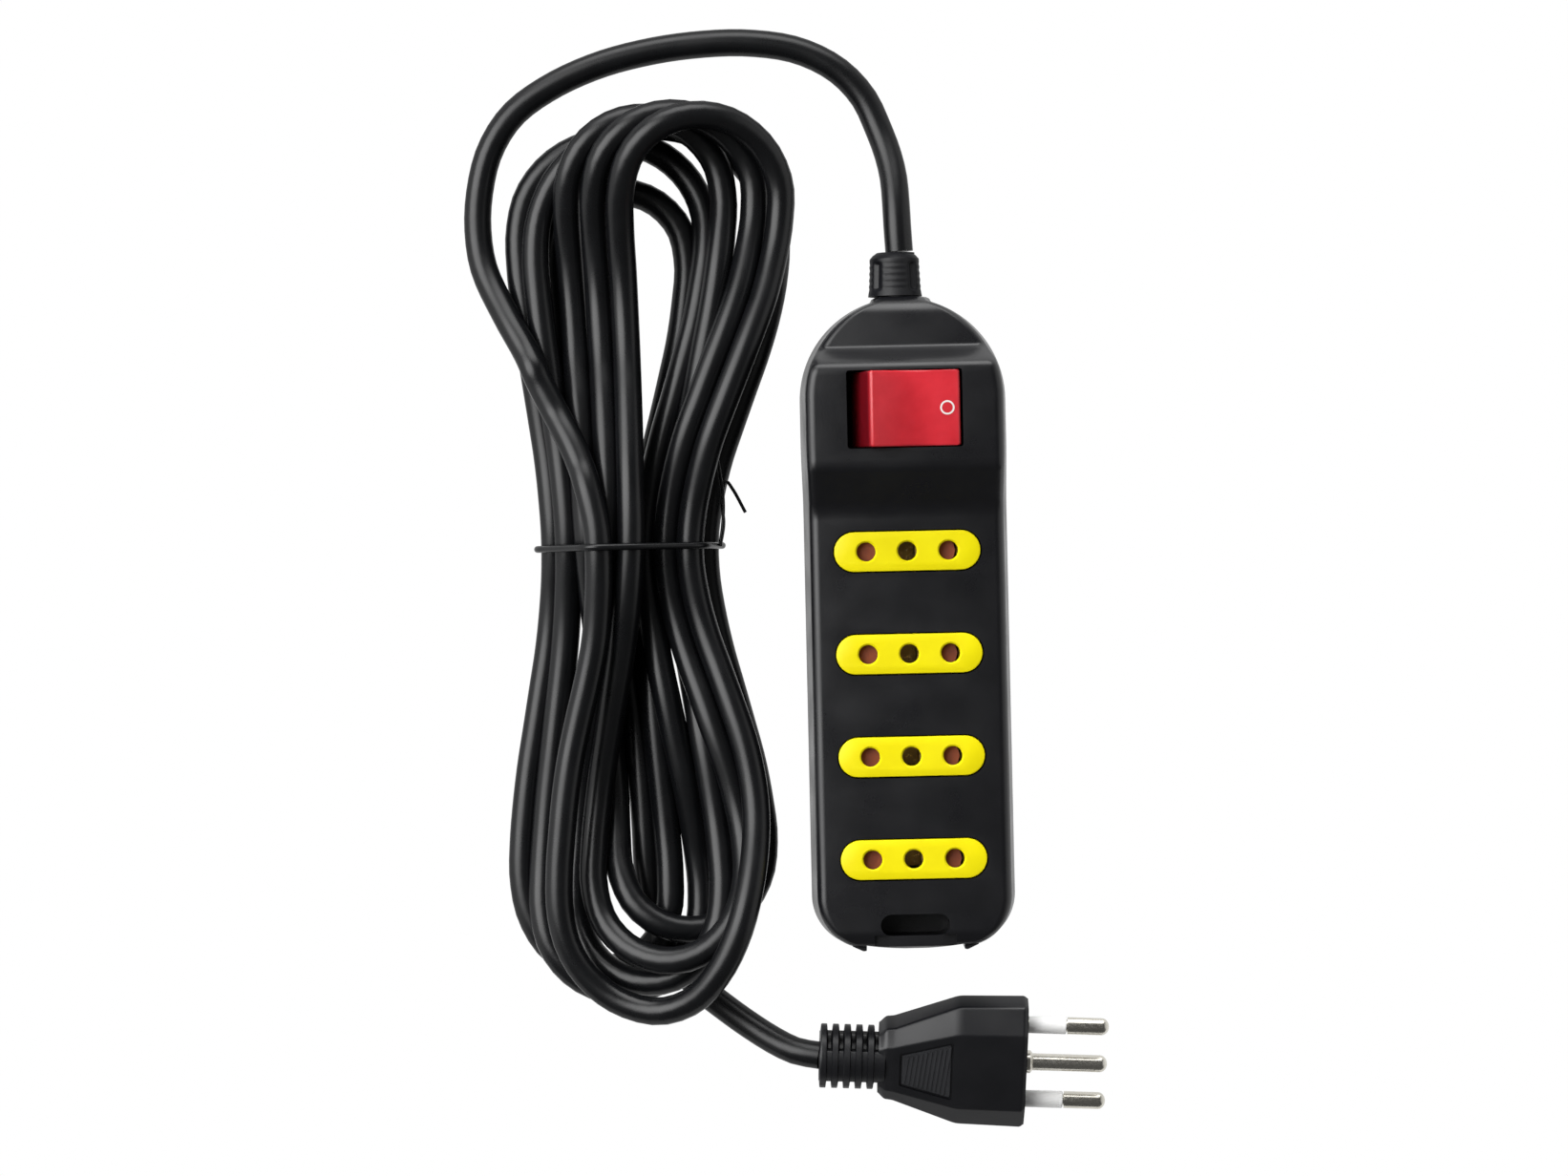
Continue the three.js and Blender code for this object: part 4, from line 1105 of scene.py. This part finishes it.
def neck_shape():
    """The neck's rings, joined by a rib along the top and the bottom."""
    rings = []
    pitch = (COLLAR_START - NECK_END) / NECK_RINGS
    for x in np.linspace(NECK_END, COLLAR_START + 1.5, 110):
        share = ((x - NECK_END) / pitch) % 1
        ridge = smoothstep(share, 0, 0.1) * (1 - smoothstep(share, 0.6, 0.72))
        if x > COLLAR_START:
            ridge = 0
        start = smoothstep(x, NECK_END - 0.5, NECK_END + 0.6)
        ring = []
        for t in full_turn(64):
            rib = smoothstep(abs(math.cos(t)), 0.72, 0.86)
            radius = NECK_RADIUS + max(2.4 * ridge, 2.1 * rib)
            radius *= 0.93 + 0.07 * start
            ring.append((x, radius * math.sin(t), radius * math.cos(t)))
        rings.append(ring)
    return skin(rings)


def grip_panel(side):
    """The trapezoid that is let into each broad face."""
    low, high = (GRIP_FLOOR, 12) if side > 0 else (-12, -GRIP_FLOOR)
    return prism(rounded(GRIP_OUTLINE, 0.6), low, high)


def grip_plate(side):
    """A plate with slanting ribs that fills most of the trapezoid."""
    shapes = [prism(rounded(GRIP_PLATE, 0.5), side * (GRIP_FLOOR - 0.1), side * (GRIP_FLOOR + 0.25))]
    for i in range(10):
        x = -28.4 + 1.06 * i
        half = np.interp(x, [GRIP_PLATE[0][0], GRIP_PLATE[1][0]], [3.2, 6.4])
        slant = 0.12 * half
        outline = [(x - slant, -half), (x + 0.5 - slant, -half), (x + 0.5 + slant, half), (x + slant, half)]
        shapes.append(prism(outline, side * (GRIP_FLOOR + 0.2), side * (GRIP_FLOOR + 0.42)))
    return join(*shapes)


def add_plug():
    body = mesh_object("plug_moulding", *skin([plug_ring(row) for row in plug_sections()]))
    pocket = block(-8, 5, -13, 13, -3.2, 3.2)
    steps = [("UNION", neck_shape()), ("DIFFERENCE", pocket)]
    steps += [("DIFFERENCE", grip_panel(side)) for side in (1, -1)]
    carve(body, *steps, sharp=32)
    body.data.transform(plug_frame())
    pieces = [finish_piece(body, PLUG_BLACK, "strip", "cord_pvc", "plug_body")]
    for name, side in (("plug_grip_upper", 1), ("plug_grip_lower", -1)):
        grip = mesh_object(name, *grip_plate(side))
        grip.data.transform(plug_frame())
        pieces.append(finish_piece(grip, GRIP_BLACK, "strip", "cord_pvc"))
    return pieces


def pin_object(name, profile, y, material, slot, node, closed=False):
    """A turned piece along the plug's x."""
    turn = Matrix.Rotation(math.radians(90), 3, "Y")
    piece = mesh_object(name, *moved(lathe(profile, 40, closed), turn=turn))
    piece.data.transform(plug_frame() @ Matrix.Translation((0, y * MM, 0)))
    return finish_piece(piece, material, "strip", slot, node)


def pin_tip():
    """The rounded end of a pin, as (radius, x)."""
    long = 1.7
    shoulder = PIN_LENGTH - long
    dome = [(max(0.02, PIN_RADIUS * x), shoulder + long * y) for x, y in arc(15, 90, 7)]
    return [(PIN_RADIUS, shoulder)] + dome


def add_pins():
    pieces = []
    for y, side in ((-PIN_SPACING, "line"), (PIN_SPACING, "neutral")):
        shank = [(1.4, PIN_ROOT), (1.4, SLEEVE_END + GAP), (PIN_RADIUS, SLEEVE_END + GAP)] + pin_tip()
        pieces.append(pin_object(f"live_pin_{side}", shank, y, NICKEL, "nickel", f"pin_{side}"))
        sleeve = [(SLEEVE_BORE, GAP), (PIN_RADIUS, GAP), (PIN_RADIUS, SLEEVE_END - 0.2),
                  (PIN_RADIUS - 0.15, SLEEVE_END), (SLEEVE_BORE, SLEEVE_END)]
        pieces.append(pin_object(f"pin_sleeve_{side}", sleeve, y, SLEEVE_WHITE, "sleeve_plastic",
                                 f"sleeve_{side}", closed=True))
    earth = [(PIN_RADIUS, PIN_ROOT), (PIN_RADIUS, GAP), (2.7, GAP), (2.7, 1.0), (2.4, 1.3), (PIN_RADIUS, 1.6)]
    pieces.append(pin_object("earth_pin", earth + pin_tip(), 0, NICKEL, "nickel", "pin_earth"))
    return pieces


# ---------------------------------------------------------------- cord

def add_cord(line):
    cord = curve_object("flex_cord", line, CORD_RADIUS)
    stands_for = ("cord_strip_side", "cord_hank", "cord_plug_side")
    return finish_piece(cord, PVC_BLACK, "strip", "cord_pvc", *stands_for)


# ---------------------------------------------------------------- CAD nodes that stay

def paint_cad_nodes():
    """Gives every CAD node that still shows its own material."""
    paints = {
        "case_screw": STEEL, "clamp_screw": STEEL, "cord_clamp": INNER_GREY, "cord_sheath_end": PVC_BLACK,
        "shutter_spring": STEEL, "shutter": SHUTTER_RED, "contact_carrier": INNER_GREY, "line_busbar": BRASS,
        "earth_busbar": BRASS, "neutral_busbar": BRASS, "switch_body": INNER_GREY, "neon_lamp": LAMP_GLASS,
        "contact_lever": BRASS, "terminal": BRASS, "wire_line": WIRE_BROWN, "wire_switched": WIRE_BROWN,
        "wire_neutral": WIRE_BLUE, "wire_earth": WIRE_EARTH, "plug_bridge": INNER_GREY,
    }
    for name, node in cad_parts.items():
        if node.hide_render:
            continue
        start = max((key for key in paints if name.startswith(key)), key=len)
        node.data.materials.clear()
        node.data.materials.append(paints[start])


# ---------------------------------------------------------------- camera, floor and light

def add_camera():
    data = bpy.data.cameras.new("camera")
    data.sensor_width = 36
    data.lens = data.sensor_width * (CAMERA_HEIGHT - VIEW_PLANE) / VIEW_WIDTH
    data.clip_start = 0.05
    data.clip_end = 20
    camera = new_object("camera", data)
    camera.location = (CAMERA_OVER[0] * MM, CAMERA_OVER[1] * MM, CAMERA_HEIGHT * MM)
    camera.rotation_euler = (0, 0, CAMERA_TURN)
    bpy.context.scene.camera = camera


def add_floor():
    data = bpy.data.meshes.new("floor")
    half = 3        # in metres
    data.from_pydata([(x, y, 0) for x, y in rectangle(half, half)], [], [(0, 1, 2, 3)])
    floor = new_object("floor", data)
    material = new_material("floor_white", (0, 0, 0), 1, specular=0)
    feed(material, {"Emission Color": (1, 1, 1, 1), "Emission Strength": 1})
    data.materials.append(material)


def add_world():
    """A dim surround with soft glows where the studio's lights and walls are."""
    world = bpy.data.worlds.new("studio")
    world.use_nodes = True
    tree = world.node_tree
    towards = add_node(tree, "TexCoord", {}).outputs["Generated"]
    total = AMBIENT
    for direction, full, gone, strength in GLOWS:
        inputs = {0: towards, 1: Vector(direction).normalized()}
        near = add_node(tree, "VectorMath", inputs, operation="DOT_PRODUCT").outputs["Value"]
        span = [math.cos(math.radians(angle)) for angle in (gone, full)]
        glow = map_range(tree, near, span, (0, strength), interpolation_type="SMOOTHSTEP")
        total = add_node(tree, "Math", {0: total, 1: glow}).outputs[0]
    set_inputs(tree, tree.nodes["Background"], {"Color": (1, 1, 1, 1), "Strength": total})
    bpy.context.scene.world = world
    bpy.context.scene.view_settings.view_transform = "Standard"


def main():
    add_camera()
    add_world()
    add_floor()
    line = settle(planned_route(), SETTLE_STEPS)
    cord = add_cord(line)
    add_top_shell()
    add_bottom_shell()
    add_inserts()
    add_rocker()
    boot = add_boot()
    pieces = add_tie(line) + add_plug() + [boot] + add_pins()
    pieces += [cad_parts["plug_bridge"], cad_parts["cord_sheath_end"]]
    paint_cad_nodes()


main()
